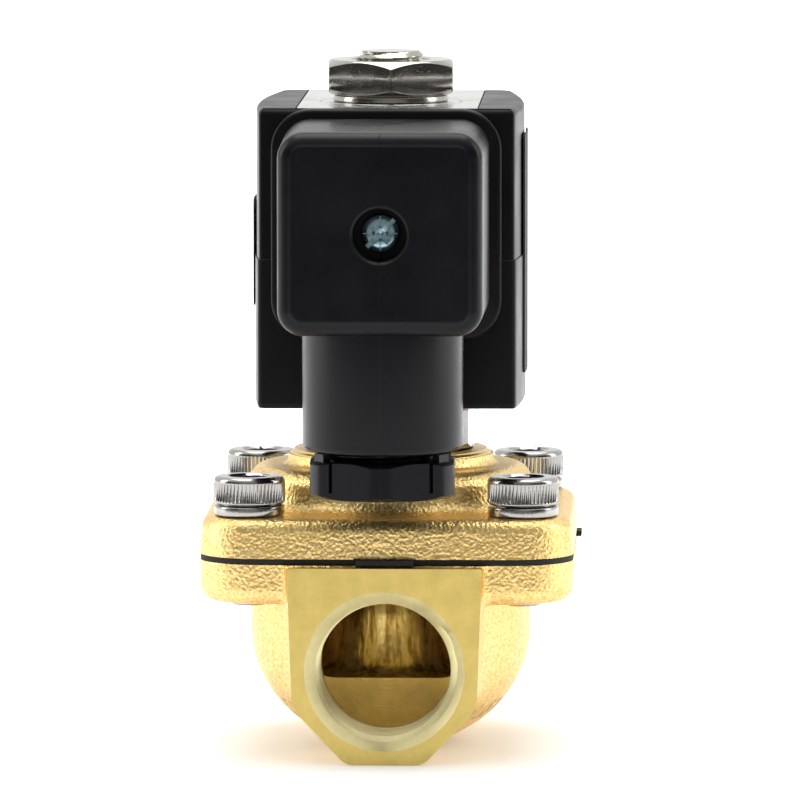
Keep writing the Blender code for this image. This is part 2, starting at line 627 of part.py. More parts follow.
# ---------------------------------------------------------------- cover
def make_valve_cover():
    size = (FLANGE_SIZE, FLANGE_SIZE, FLANGE_CORNER)
    levels = [(COVER_LOW_Z, 0.0), (COVER_TOP_Z - COVER_EDGE_R, 0.4 * MM)]
    for angle in (30, 60, 90):
        rise = COVER_EDGE_R * sin(radians(angle))
        inset = COVER_EDGE_R * (1 - cos(radians(angle)))
        levels.append((COVER_TOP_Z - COVER_EDGE_R + rise, 0.4 * MM + inset))
    loops = [flat_loop(rounded_rectangle(*size, inset=inset), z) for z, inset in levels]
    made = solid("valve_cover", loops, CAST_BRASS, VALVE)

    middle = COVER_LOW_Z + COVER_FLANGE_THICK / 2
    foot = DOME_R + DOME_FOOT_FILLET
    edge = arc(DOME_R - DOME_EDGE_R, DOME_TOP_Z - DOME_EDGE_R, DOME_EDGE_R, 0, 90, 4)
    fillet = arc(foot, COVER_TOP_Z + DOME_FOOT_FILLET, DOME_FOOT_FILLET, 270, 180, 3)
    dome = [(0.0, middle), (foot, middle)] + fillet + edge + [
        (COLLAR_R, DOME_TOP_Z),
        (COLLAR_R, COLLAR_TOP_Z - COLLAR_CHAMFER),
        (COLLAR_R - COLLAR_CHAMFER, COLLAR_TOP_Z),
        (0.0, COLLAR_TOP_Z),
    ]
    shape_with(made, turned("dome", dome, CAST_BRASS, VALVE, 28), "UNION")

    below = COVER_LOW_Z - BEYOND
    bevel = 1.5 * MM
    chamber = [(0.0, below), (CHAMBER_R, below), (CHAMBER_R, ROOF_Z - bevel), (CHAMBER_R - bevel, ROOF_Z),
               (0.0, ROOF_Z)]
    shape_with(made, turned("cut_cover_chamber", chamber, CAST_BRASS, VALVE, 24))

    above = COLLAR_TOP_Z + BEYOND
    socket_r = SPIGOT_R + THREAD_CLEARANCE
    ring_r = SPIGOT_R + RUNNING + 2 * O_RING_WIRE_R
    ring_z = COLLAR_TOP_Z - 2 * O_RING_WIRE_R
    socket = [
        (0.0, NOZZLE_TOP_Z),
        (NOZZLE_TIP_R, NOZZLE_TOP_Z),
        (NOZZLE_R, SOCKET_Z),
        (socket_r, SOCKET_Z),
        (socket_r, ring_z),
        (ring_r, ring_z),
        (ring_r, above),
        (0.0, above),
    ]
    shape_with(made, turned("cut_tube_socket", socket, CAST_BRASS, VALVE, 28))

    way_z = (ROOF_Z + SOCKET_Z) / 2
    drill(made, "cut_orifice", ORIFICE_R, way_z, above, steps=8)
    drill(made, "cut_pilot_way", PILOT_R, 0.0, PILOT_Y + BREAK, (0.0, 0.0, way_z), TO_REAR, steps=8)
    drill(made, "cut_pilot_drop", PILOT_R, below, way_z, (0.0, PILOT_Y, 0.0), steps=8)
    for i, side in enumerate((-1, 1)):
        at = (side * TRANSFER_HOLE_OFFSET, 0.0, 0.0)
        drill(made, f"cut_transfer_{i}", TRANSFER_HOLE_R, ROOF_Z - BEYOND, SOCKET_Z + BEYOND, at, steps=8)
    for i, (x, y) in enumerate(screw_places()):
        drill(made, f"cut_cover_hole_{i}", SCREW_HOLE_R, below, COVER_TOP_Z + 2 * BEYOND,
              (x, y, 0.0), steps=12)
    half_notch = DIAPHRAGM_TAB_WIDTH / 2 + RUNNING
    front = -FLANGE_SIZE / 2
    mill(made, "cut_tab_notch", (-half_notch, front - 2 * BEYOND, below),
         (half_notch, front + 0.5 * MM, COVER_LOW_Z + 0.5 * MM))


# ---------------------------------------------------------------- cover screws and their washers
def make_cover_screws():
    washer_z = COVER_TOP_Z + CONTACT
    head_z = washer_z + WASHER_THICK + CONTACT
    head_top = head_z + SCREW_HEAD_HEIGHT
    tip_z = FLANGE_LOW_Z - SCREW_TIP_PROUD
    steps = 18
    screw = turned_loops([
        (0.0, tip_z),
        (SCREW_R - 0.7 * MM, tip_z),
        (SCREW_R, tip_z + 0.7 * MM),
        (SCREW_R, head_z),
        (SCREW_HEAD_R, head_z),
        (SCREW_HEAD_R, head_top - BREAK),
        (SCREW_HEAD_R - 0.5 * MM, head_top),
    ], steps)
    screw.append(hexagon_loop(SCREW_SOCKET_FLATS, head_top, steps))
    screw.append(hexagon_loop(SCREW_SOCKET_FLATS, head_top - SCREW_SOCKET_DEPTH, steps))
    screw.append([(0.0, 0.0, head_top - SCREW_SOCKET_DEPTH - BREAK)])

    hole = SCREW_R + RUNNING
    washer = []
    steps = 16
    for i in range(steps + 1):
        angle = WASHER_SPLIT / 2 + (2 * pi - WASHER_SPLIT) * i / steps
        washer.append([
            (r * cos(angle), r * sin(angle), z)
            for r, z in (
                (hole, washer_z),
                (WASHER_R, washer_z),
                (WASHER_R, washer_z + WASHER_THICK),
                (hole, washer_z + WASHER_THICK),
            )
        ])

    for number, (x, y) in enumerate(screw_places(), 1):
        solid(f"cover_screw_{number}", screw, BRIGHT_STEEL, VALVE, (x, y, 0.0))
        solid(f"spring_washer_{number}", washer, SPRING_STEEL, VALVE, (x, y, 0.0), (0.0, 0.0, 1.1 * number))


# ---------------------------------------------------------------- armature tube, core and plunger
def make_armature_tube():
    steps = 24
    lip_r = STUD_R + RUNNING
    low = SOCKET_Z + CONTACT
    loops = turned_loops([(TUBE_BORE_R, low), (SPIGOT_R, low), (SPIGOT_R, HEX_LOW_Z)], steps)
    loops.append(hexagon_loop(HEX_FLATS, HEX_LOW_Z, steps, HEX_TURN))
    loops.append(hexagon_loop(HEX_FLATS, HEX_TOP_Z, steps, HEX_TURN))
    loops += turned_loops([
        (TUBE_R, HEX_TOP_Z),
        (TUBE_R, TUBE_TOP_Z - BREAK),
        (TUBE_R - BREAK, TUBE_TOP_Z),
        (lip_r, TUBE_TOP_Z),
        (lip_r, TUBE_TOP_Z - TUBE_LIP),
        (TUBE_BORE_R, TUBE_TOP_Z - TUBE_LIP),
    ], steps)
    solid("armature_tube", loops, SATIN_STEEL, VALVE, ring=True)


def o_ring(name, mean_r, wire_r, z, parent, steps=24):
    section = arc(mean_r, z, wire_r, 0, 360, 6)[:-1]
    turned(name, section, RUBBER, parent, steps)


def make_core_and_plunger():
    groove_in = SHADING_RING_R - SHADING_RING_WALL
    groove_top = CORE_LOW_Z + SHADING_RING_DEPTH + CONTACT
    core_r = TUBE_BORE_R - RUNNING
    core = [
        (0.0, CORE_LOW_Z),
        (groove_in, CORE_LOW_Z),
        (groove_in, groove_top),
        (SHADING_RING_R, groove_top),
        (SHADING_RING_R, CORE_LOW_Z),
        (core_r, CORE_LOW_Z),
        (core_r, CORE_TOP_Z),
        (STUD_R, CORE_TOP_Z),
        (STUD_R, STUD_TOP_Z - STUD_CHAMFER),
        (STUD_R - STUD_CHAMFER, STUD_TOP_Z),
        (0.0, STUD_TOP_Z),
    ]
    turned("fixed_core", core, SATIN_STEEL, VALVE, 24)

    ring_out = SHADING_RING_R - RUNNING
    ring_in = groove_in + RUNNING
    ring_top = CORE_LOW_Z + SHADING_RING_DEPTH
    ring = [(ring_in, CORE_LOW_Z), (ring_out, CORE_LOW_Z), (ring_out, ring_top), (ring_in, ring_top)]
    turned("shading_ring", ring, COPPER, VALVE, 24)

    plunger_r = TUBE_BORE_R - PLUNGER_CLEARANCE
    seal_top = SEAL_LOW_Z + SEAL_THICK
    bore_floor = PLUNGER_TOP_Z - PLUNGER_BORE_DEPTH
    plunger = [
        (0.0, seal_top + CONTACT),
        (SEAL_R + RUNNING, seal_top + CONTACT),
        (SEAL_R + RUNNING, PLUNGER_LOW_Z),
        (plunger_r - 0.5 * MM, PLUNGER_LOW_Z),
        (plunger_r, PLUNGER_LOW_Z + 0.5 * MM),
        (plunger_r, PLUNGER_TOP_Z),
        (PLUNGER_BORE_R, PLUNGER_TOP_Z),
        (PLUNGER_BORE_R, bore_floor),
        (0.0, bore_floor),
    ]
    turned("plunger", plunger, SATIN_STEEL, PLUNGER_SET, 20)
    seal = [(0.0, SEAL_LOW_Z), (SEAL_R, SEAL_LOW_Z), (SEAL_R, seal_top), (0.0, seal_top)]
    turned("plunger_seal", seal, RUBBER, PLUNGER_SET, 16)
    spring("plunger_spring", PLUNGER_SPRING_R, PLUNGER_SPRING_WIRE_R, bore_floor, CORE_LOW_Z,
           PLUNGER_SPRING_TURNS, VALVE, turn_steps=9, wire_steps=4)


# ---------------------------------------------------------------- coil
def coil_outline(inset):
    """Plan of the coil casing: flat front and rear, shallow curved sides, rounded rear corners."""
    steps = 8
    side = []
    for i in range(1, steps):
        share = i / steps
        y = COIL_FRONT_Y + (COIL_REAR_Y - COIL_REAR_CORNER - COIL_FRONT_Y) * share
        straight = COIL_FRONT_HALF_WIDTH + (COIL_REAR_HALF_WIDTH - COIL_FRONT_HALF_WIDTH) * share
        side.append((straight + COIL_BULGE * sin(pi * share) - inset, y))
    front = arc(COIL_FRONT_HALF_WIDTH - COIL_FRONT_CORNER, COIL_FRONT_Y + COIL_FRONT_CORNER,
                max(COIL_FRONT_CORNER - inset, 0.05 * MM), 270, 345, 2)
    rear = arc(COIL_REAR_HALF_WIDTH - COIL_REAR_CORNER, COIL_REAR_Y - COIL_REAR_CORNER,
               COIL_REAR_CORNER - inset, 15, 90, 4)
    right = front + side + rear
    return right + [(-x, y) for x, y in reversed(right)]


def make_coil_housing():
    parting = COIL_LOW_Z + COIL_PARTING_HEIGHT
    levels = [
        (COIL_LOW_Z, COIL_PARTING_STEP),
        (COIL_LOW_Z + 0.3 * MM, 0.0),
        (parting, 0.0),
        (parting, COIL_PARTING_STEP),
        (COIL_TOP_Z - COIL_EDGE_R, COIL_PARTING_STEP),
        (COIL_TOP_Z - 0.3 * COIL_EDGE_R, COIL_PARTING_STEP + 0.3 * COIL_EDGE_R),
        (COIL_TOP_Z, COIL_PARTING_STEP + COIL_EDGE_R),
    ]
    loops = [flat_loop(coil_outline(inset), z) for z, inset in levels]
    made = solid("coil_housing", loops, COIL_PLASTIC, COIL)

    pad = rounded_rectangle(PLATFORM_SIZE, PLATFORM_SIZE, PLATFORM_CORNER, 5)
    platform = prism("connector_platform", pad, -COIL_FRONT_Y - COIL_END_WALL / 2, -PLATFORM_Y, COIL_PLASTIC,
                     COIL, (0.0, 0.0, PLATFORM_Z), TO_FRONT)
    shape_with(made, platform, "UNION")

    half = YOKE_HALF_WIDTH + RUNNING
    mill(made, "cut_yoke_slot", (-half, SLOT_FRONT_Y, COIL_LOW_Z - BEYOND),
         (half, SLOT_REAR_Y, COIL_TOP_Z + BEYOND))
    drill(made, "cut_winding_room", BOBBIN_FLANGE_R + RUNNING, BOBBIN_LOW_Z - CONTACT,
          BOBBIN_TOP_Z + CONTACT, steps=28)

    half_slot = BLADE_THICK / 2 + RUNNING
    half_width = BLADE_WIDTH / 2 + RUNNING
    deep = PLATFORM_Y + BLADE_ROOT + RUNNING
    for name, x in (("cut_line_slot", -BLADE_SPACING / 2), ("cut_neutral_slot", BLADE_SPACING / 2)):
        mill(made, name, (x - half_slot, PLATFORM_Y - BEYOND, CONNECTOR_Z - half_width),
             (x + half_slot, deep, CONNECTOR_Z + half_width))
    mill(made, "cut_earth_slot", (-half_width, PLATFORM_Y - BEYOND, EARTH_Z - half_slot),
         (half_width, deep, EARTH_Z + half_slot))
    drill(made, "cut_insert_hole", INSERT_R + RUNNING, -PLATFORM_Y - insert_depth() - RUNNING,
          -PLATFORM_Y + BEYOND, (0.0, 0.0, CONNECTOR_Z), TO_FRONT)


def insert_depth():
    """The insert goes as deep as the wall behind the platform allows."""
    return min(INSERT_LENGTH, PLATFORM_PROUD + COIL_END_WALL - 0.5 * MM)


def make_bobbin_and_winding():
    low_in = BOBBIN_LOW_Z + BOBBIN_FLANGE_THICK
    top_in = BOBBIN_TOP_Z - BOBBIN_FLANGE_THICK
    bobbin = [
        (BOBBIN_BORE_R, BOBBIN_LOW_Z),
        (BOBBIN_FLANGE_R, BOBBIN_LOW_Z),
        (BOBBIN_FLANGE_R, low_in),
        (BOBBIN_R, low_in),
        (BOBBIN_R, top_in),
        (BOBBIN_FLANGE_R, top_in),
        (BOBBIN_FLANGE_R, BOBBIN_TOP_Z),
        (BOBBIN_BORE_R, BOBBIN_TOP_Z),
    ]
    turned("coil_bobbin", bobbin, BOBBIN_PLASTIC, COIL, 24)
    inner = BOBBIN_R + RUNNING
    winding = [
        (inner, low_in + CONTACT),
        (inner + WINDING_DEPTH, low_in + CONTACT),
        (inner + WINDING_DEPTH, top_in - CONTACT),
        (inner, top_in - CONTACT),
    ]
    turned("coil_winding", winding, COPPER, COIL, 24)


def make_yoke(name, side, end_y):
    """A C-shaped strap: top, upright and foot, with half a hole for the sleeve at each end."""
    inner_y = side * CONTACT / 2
    web_y = end_y - side * YOKE_THICK
    section = [
        (inner_y, YOKE_LOW_Z),
        (end_y, YOKE_LOW_Z),
        (end_y, YOKE_TOP_Z),
        (inner_y, YOKE_TOP_Z),
        (inner_y, YOKE_TOP_Z - YOKE_THICK),
        (web_y, YOKE_TOP_Z - YOKE_THICK),
        (web_y, YOKE_LOW_Z + YOKE_THICK),
        (inner_y, YOKE_LOW_Z + YOKE_THICK),
    ]
    loops = [[(x, y, z) for y, z in section] for x in (-YOKE_HALF_WIDTH, YOKE_HALF_WIDTH)]
    made = solid(name, loops, SATIN_STEEL, COIL)
    drill(made, f"cut_{name}_hole", SLEEVE_R + RUNNING, YOKE_LOW_Z - BEYOND, YOKE_TOP_Z + BEYOND, steps=24)


def make_yokes_and_sleeves():
    make_yoke("yoke_front", -1, SLOT_FRONT_Y + CONTACT)
    make_yoke("yoke_rear", 1, SLOT_REAR_Y - CONTACT)
    for name, low in (("flux_sleeve_bottom", COIL_LOW_Z), ("flux_sleeve_top", COIL_TOP_Z - SLEEVE_LENGTH)):
        high = low + SLEEVE_LENGTH
        profile = [(SLEEVE_BORE_R, low), (SLEEVE_R, low), (SLEEVE_R, high), (SLEEVE_BORE_R, high)]
        turned(name, profile, SATIN_STEEL, COIL, 24)


def make_label(name, side, height, z):
    """A thin plate that follows the curved side of the casing."""
    casing = [(x, y) for x, y in coil_outline(-CONTACT) if side * x > 0]
    low_y = COIL_FRONT_Y + 0.18 * (COIL_REAR_Y - COIL_FRONT_Y)
    middle = [(x, y) for x, y in casing if low_y < y < low_y + LABEL_DEPTH]
    outer = [(x + side * LABEL_THICK, y) for x, y in reversed(middle)]
    prism(name, middle + outer, z - height / 2, z + height / 2, LABEL_FILM, COIL)


# ---------------------------------------------------------------- washer and nut on the stud
def make_top_nut():
    hole = STUD_R + RUNNING
    top = TOP_WASHER_Z + TOP_WASHER_THICK
    bevel = 0.2 * MM
    washer = [
        (hole, TOP_WASHER_Z),
        (TOP_WASHER_R, TOP_WASHER_Z),
        (TOP_WASHER_R, top - bevel),
        (TOP_WASHER_R - bevel, top),
        (hole, top),
    ]
    turned("top_washer", washer, BRIGHT_STEEL, VALVE, 28)

    ring_r = STUD_R + RUNNING + NUT_RING_WIRE_R
    o_ring("nut_o_ring", ring_r, NUT_RING_WIRE_R, NUT_LOW_Z + NUT_RING_WIRE_R, NUT_RING_SET, 20)

    steps = 24
    thread = STUD_R + THREAD_CLEARANCE
    groove_r = STUD_R + 2 * RUNNING + 2 * NUT_RING_WIRE_R
    groove_z = NUT_LOW_Z + 2 * NUT_RING_WIRE_R + CONTACT
    chamfer = 0.5 * MM
    nut = turned_loops([(groove_r, NUT_LOW_Z), (NUT_FLATS / 2 - 0.2 * MM, NUT_LOW_Z)], steps)
    nut.append(hexagon_loop(NUT_FLATS, NUT_LOW_Z + chamfer, steps, NUT_TURN))
    nut.append(hexagon_loop(NUT_FLATS, NUT_TOP_Z - chamfer, steps, NUT_TURN))
    nut += turned_loops([
        (NUT_FLATS / 2 - 0.2 * MM, NUT_TOP_Z),
        (thread + 0.4 * MM, NUT_TOP_Z),
        (thread, NUT_TOP_Z - 0.4 * MM),
        (thread, groove_z),
        (groove_r, groove_z),
    ], steps)
    solid("coil_nut", nut, BRIGHT_STEEL, NUT_SET, ring=True)


# ---------------------------------------------------------------- connector
def make_blades():
    """Two upright tabs at the sides and a level earth tab below the screw."""
    root = PLATFORM_Y + BLADE_ROOT
    half = BLADE_WIDTH / 2
    thin = BLADE_THICK / 2
    for tag, x in (("line", -BLADE_SPACING / 2), ("neutral", BLADE_SPACING / 2)):
        block(f"terminal_blade_{tag}", (x - thin, BLADE_TIP_Y, CONNECTOR_Z - half), (x + thin, root, CONNECTOR_Z + half),
              SATIN_STEEL, COIL)
    block("terminal_blade_earth", (-half, BLADE_TIP_Y, EARTH_Z - thin), (half, root, EARTH_Z + thin),
          SATIN_STEEL, COIL)
    hole = FIXING_SCREW_R + RUNNING
    front = -PLATFORM_Y
    back = front - insert_depth()
    profile = [(0.0, back), (INSERT_R, back), (INSERT_R, front), (hole, front), (hole, back + BREAK),
               (0.0, back + BREAK)]
    turned("screw_insert", profile, TURNED_BRASS, COIL, 14, (0.0, 0.0, CONNECTOR_Z), TO_FRONT)


def open_for_blades(target, tag, clearance, back_y, front_y):
    """Cuts the three blade slots and the screw's hole through a piece of the connector."""
    thin = BLADE_THICK / 2 + clearance
    half = BLADE_WIDTH / 2 + clearance
    for side in (-1, 1):
        x = side * BLADE_SPACING / 2
        name = f"cut_{tag}_slot_{'line' if side < 0 else 'neutral'}"
        mill(target, name, (x - thin, front_y, CONNECTOR_Z - half), (x + thin, back_y, CONNECTOR_Z + half))
    mill(target, f"cut_{tag}_slot_earth", (-half, front_y, EARTH_Z - thin), (half, back_y, EARTH_Z + thin))


def make_gasket():
    width = CONNECTOR_WIDTH - 2 * GASKET_MARGIN
    height = CONNECTOR_HEIGHT - 2 * GASKET_MARGIN
    outline = rounded_rectangle(width, height, CONNECTOR_CORNER)
    made = prism("connector_gasket", outline, -GASKET_Y, -GASKET_Y + GASKET_THICK, GASKET_RUBBER, COIL,
                 (0.0, 0.0, CONNECTOR_Z), TO_FRONT)
    back = GASKET_Y + BEYOND
    front = GASKET_Y - GASKET_THICK - BEYOND
    open_for_blades(made, "gasket", 2 * RUNNING, back, front)
    drill(made, "cut_gasket_hole", FIXING_SCREW_R + 2 * RUNNING, -back, -front,
          (0.0, 0.0, CONNECTOR_Z), TO_FRONT)


def make_connector_housing():
    levels = [(-CONNECTOR_BACK_Y, 0.0)]
    straight = -CONNECTOR_FACE_Y - CONNECTOR_EDGE_R
    levels.append((straight, 0.35 * MM))
    for angle in (30, 60, 90):
        inset = CONNECTOR_EDGE_R * (1 - cos(radians(angle)))
        levels.append((straight + CONNECTOR_EDGE_R * sin(radians(angle)), 0.35 * MM + inset))
    size = (CONNECTOR_WIDTH, CONNECTOR_HEIGHT, CONNECTOR_CORNER)
    loops = [flat_loop(rounded_rectangle(*size, inset=inset), depth) for depth, inset in levels]
    made = solid("connector_housing", loops, CONNECTOR_PLASTIC, COIL, (0.0, 0.0, CONNECTOR_Z), TO_FRONT)

    inside = CONNECTOR_LOW_Z + CONNECTOR_WALL + BEYOND
    chamfer = 0.4 * MM
    barrel = [
        (0.0, inside),
        (BARREL_R, inside),
        (BARREL_R, BARREL_LOW_Z + chamfer),
        (BARREL_R - chamfer, BARREL_LOW_Z),
        (NECK_R, BARREL_LOW_Z),
        (NECK_R, NECK_LOW_Z),
        (0.0, NECK_LOW_Z),
    ]
    tool = turned("cable_barrel", barrel, CONNECTOR_PLASTIC, COIL, 28, (0.0, GLAND_Y, 0.0))
    shape_with(made, tool, "UNION")

    opening = rounded_rectangle(CONNECTOR_WIDTH - 2 * CONNECTOR_WALL, CONNECTOR_HEIGHT - 2 * CONNECTOR_WALL,
                                CONNECTOR_CORNER - CONNECTOR_WALL / 2, 3)
    cavity = prism("cut_connector_cavity", opening, -CONNECTOR_BACK_Y - BEYOND, -CAVITY_END_Y,
                   CONNECTOR_PLASTIC, COIL, (0.0, 0.0, CONNECTOR_Z), TO_FRONT)
    shape_with(made, cavity)
    drill(made, "cut_cable_way", CABLE_WAY_R, NECK_LOW_Z - BEYOND, inside + 2 * BEYOND, (0.0, GLAND_Y, 0.0),
          steps=20)

    on_screw = (0.0, 0.0, CONNECTOR_Z)
    boss_r = FACE_RECESS_R + RECESS_BOSS_WALL
    face_middle = -CONNECTOR_FACE_Y - CONNECTOR_FACE_WALL / 2
    boss = [(0.0, -BOSS_END_Y), (boss_r, -BOSS_END_Y), (boss_r, face_middle), (0.0, face_middle)]
    tool = turned("recess_boss", boss, CONNECTOR_PLASTIC, COIL, 24, on_screw, TO_FRONT)
    shape_with(made, tool, "UNION")
    drill(made, "cut_face_recess", FACE_RECESS_R, -RECESS_FLOOR_Y, -CONNECTOR_FACE_Y + BEYOND,
          on_screw, TO_FRONT, steps=20)
    drill(made, "cut_face_hole", FIXING_SCREW_R + RUNNING, -BOSS_END_Y - BEYOND, -RECESS_FLOOR_Y + BEYOND,
          on_screw, TO_FRONT, steps=12)


def contact_places():
    """Name, x, z and size of each box clamp: it straddles its blade."""
    upright = (CONTACT_HEIGHT, CONTACT_WIDTH)
    level = (CONTACT_WIDTH, CONTACT_HEIGHT)
    return [
        ("line", -BLADE_SPACING / 2, CONNECTOR_Z, upright),
        ("neutral", BLADE_SPACING / 2, CONNECTOR_Z, upright),
        ("earth", 0.0, EARTH_Z, level),
    ]


def make_terminal_block():
    width = CONNECTOR_WIDTH - 2 * CONNECTOR_WALL - 2 * BLOCK_CLEARANCE
    height = CONNECTOR_HEIGHT - 2 * CONNECTOR_WALL - 2 * BLOCK_CLEARANCE
    corner = CONNECTOR_CORNER - CONNECTOR_WALL / 2
    outline = rounded_rectangle(width, height, corner, 2)
    made = prism("terminal_block", outline, -BLOCK_BACK_Y, -BLOCK_FRONT_Y, BOBBIN_PLASTIC, COIL,
                 (0.0, 0.0, CONNECTOR_Z), TO_FRONT)
    open_for_blades(made, "block", 2 * RUNNING, BLOCK_BACK_Y + BEYOND, BLADE_TIP_Y - BEYOND)
    contact_y = BLADE_TIP_Y - 0.5 * MM
    for tag, x, z, (wide, tall) in contact_places():
        room = (wide / 2 + RUNNING, tall / 2 + RUNNING)
        mill(made, f"cut_{tag}_room", (x - room[0], BLOCK_FRONT_Y - BEYOND, z - room[1]),
             (x + room[0], contact_y + CONTACT_LENGTH / 2 + RUNNING, z + room[1]))
    drill(made, "cut_block_hole", FIXING_SCREW_R + 2 * RUNNING, -BLOCK_BACK_Y - BEYOND,
          -BLOCK_FRONT_Y + BEYOND, (0.0, 0.0, CONNECTOR_Z), TO_FRONT)


def make_contacts():
    """Box clamps with a slot for the blade, each with its clamping screw from the front."""
    middle_y = BLADE_TIP_Y - 0.5 * MM
    back_y = middle_y + CONTACT_LENGTH / 2
    front_y = middle_y - CONTACT_LENGTH / 2
    thin = BLADE_THICK / 2 + RUNNING
    half = BLADE_WIDTH / 2 + RUNNING
    for number, (tag, x, z, (wide, tall)) in enumerate(contact_places(), 1):
        low = (x - wide / 2, front_y, z - tall / 2)
        high = (x + wide / 2, back_y, z + tall / 2)
        made = block(f"contact_{tag}", low, high, TURNED_BRASS, COIL)
        slot = (thin, half) if tag != "earth" else (half, thin)
        mill(made, f"cut_{tag}_blade_slot", (x - slot[0], BLADE_TIP_Y - RUNNING, z - slot[1]),
             (x + slot[0], back_y + BEYOND, z + slot[1]))
        head_y = front_y - CONTACT
        screw = [
            (0.0, -head_y),
            (CLAMP_SCREW_R, -head_y),
            (CLAMP_SCREW_R, -head_y + CLAMP_SCREW_LENGTH),
            (0.0, -head_y + CLAMP_SCREW_LENGTH),
        ]
        turned(f"clamp_screw_{number}", screw, BRIGHT_STEEL, COIL, 12, (x, 0.0, z), TO_FRONT)


def make_connector_screw():
    floor = -RECESS_FLOOR_Y + CONTACT
    tip = -PLATFORM_Y - insert_depth() + BREAK + CONTACT
    top = floor + FIXING_SCREW_HEAD
    screw = [
        (0.0, tip),
        (FIXING_SCREW_R, tip),
        (FIXING_SCREW_R, floor),
        (FIXING_SCREW_HEAD_R, floor),
        (FIXING_SCREW_HEAD_R, top - 0.5 * MM),
        (FIXING_SCREW_HEAD_R - 0.5 * MM, top),
        (0.0, top),
    ]
    made = turned("connector_screw", screw, BRIGHT_STEEL, COIL, 16, (0.0, 0.0, CONNECTOR_Z), TO_FRONT)
    half_slot = DRIVER_SLOT_WIDTH / 2
    reach = FIXING_SCREW_HEAD_R - 0.5 * MM
    mill(made, "cut_driver_slot_level", (-reach, -top - BEYOND, CONNECTOR_Z - half_slot),
         (reach, -top + DRIVER_SLOT_DEPTH, CONNECTOR_Z + half_slot))
    mill(made, "cut_driver_slot_upright", (-half_slot, -top - BEYOND, CONNECTOR_Z - reach),
         (half_slot, -top + DRIVER_SLOT_DEPTH - CONTACT, CONNECTOR_Z + reach))


def make_gland():
    at = (0.0, GLAND_Y, 0.0)
    seal_r = CABLE_WAY_R - RUNNING
    seal_top = BARREL_LOW_Z + 1.5 * MM
    seal = [
        (GLAND_SEAL_BORE_R, GLAND_SEAL_Z),
        (seal_r, GLAND_SEAL_Z),
        (seal_r, seal_top),
        (GLAND_SEAL_BORE_R, seal_top),
    ]
    turned("gland_seal", seal, RUBBER, COIL, 20, at)
    ring_top = GLAND_RING_Z + GLAND_RING_THICK
    ring = [
        (GLAND_NUT_HOLE_R, GLAND_RING_Z),
        (seal_r, GLAND_RING_Z),
        (seal_r, ring_top),
        (GLAND_NUT_HOLE_R, ring_top),
    ]
    turned("gland_ring", ring, SATIN_STEEL, GLAND_RING_SET, 20, at)

    steps = 24
    bore = NECK_R + THREAD_CLEARANCE
    nut = turned_loops([(GLAND_NUT_HOLE_R, GLAND_NUT_LOW_Z)], steps)
    nut.append(hexagon_loop(GLAND_NUT_FLATS - 1.0 * MM, GLAND_NUT_LOW_Z, steps))
    nut.append(hexagon_loop(GLAND_NUT_FLATS, GLAND_NUT_LOW_Z + 0.5 * MM, steps))
    nut.append(hexagon_loop(GLAND_NUT_FLATS, GLAND_NUT_TOP_Z, steps))
    nut += turned_loops([
        (bore, GLAND_NUT_TOP_Z),
        (bore, GLAND_RING_Z - CONTACT),
        (GLAND_NUT_HOLE_R, GLAND_RING_Z - CONTACT),
    ], steps)
    made = solid("gland_nut", nut, CONNECTOR_PLASTIC, GLAND_NUT_SET, at, ring=True)
    for i, angle in enumerate((45, 135, 225, 315)):
        outline = arc(0.0, 0.0, GLAND_NUT_FLATS / 2 - 0.1 * MM, angle - 9, angle + 9, 3)
        outline += arc(0.0, 0.0, bore + 0.1 * MM, angle + 9, angle - 9, 3)
        tab = prism(f"grip_tab_{i}", outline, GLAND_NUT_TOP_Z - BEYOND, GLAND_NUT_TOP_Z + GLAND_NUT_TAB,
                    CONNECTOR_PLASTIC, GLAND_NUT_SET, at)
        shape_with(made, tab, "UNION")


make_valve_body()
make_diaphragm()
make_diaphragm_set()
make_valve_cover()
make_cover_screws()
make_armature_tube()
o_ring("tube_o_ring", SPIGOT_R + RUNNING + O_RING_WIRE_R, O_RING_WIRE_R - RUNNING / 2,
       COLLAR_TOP_Z - O_RING_WIRE_R, VALVE)
make_core_and_plunger()
make_coil_housing()
make_bobbin_and_winding()
make_yokes_and_sleeves()
make_label("rating_label", 1, RATING_LABEL_HEIGHT, COIL_LOW_Z + COIL_HEIGHT / 2)
make_label("side_label", -1, SIDE_LABEL_HEIGHT, COIL_LOW_Z + COIL_HEIGHT / 2)
make_top_nut()
make_blades()
make_gasket()
make_connector_housing()
make_terminal_block()
make_contacts()
make_connector_screw()
make_gland()
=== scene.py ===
# %% [markdown]
# # A brass solenoid valve, one finish at a time
#
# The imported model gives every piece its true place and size. This script dresses it: castings with
# soft edges and a sand-blasted skin, machined ports with real threads, knurled screws, a moulded
# coil and its plug. Each step first says what the piece is on the real valve and why it is made
# the way it is, then a short cell makes it and prints what it measured.

# %% Load the frame
from math import cos, pi, radians, sin, sqrt, tan, tau

import bmesh
import bpy
import numpy as np
from mathutils import Euler, Matrix, Vector


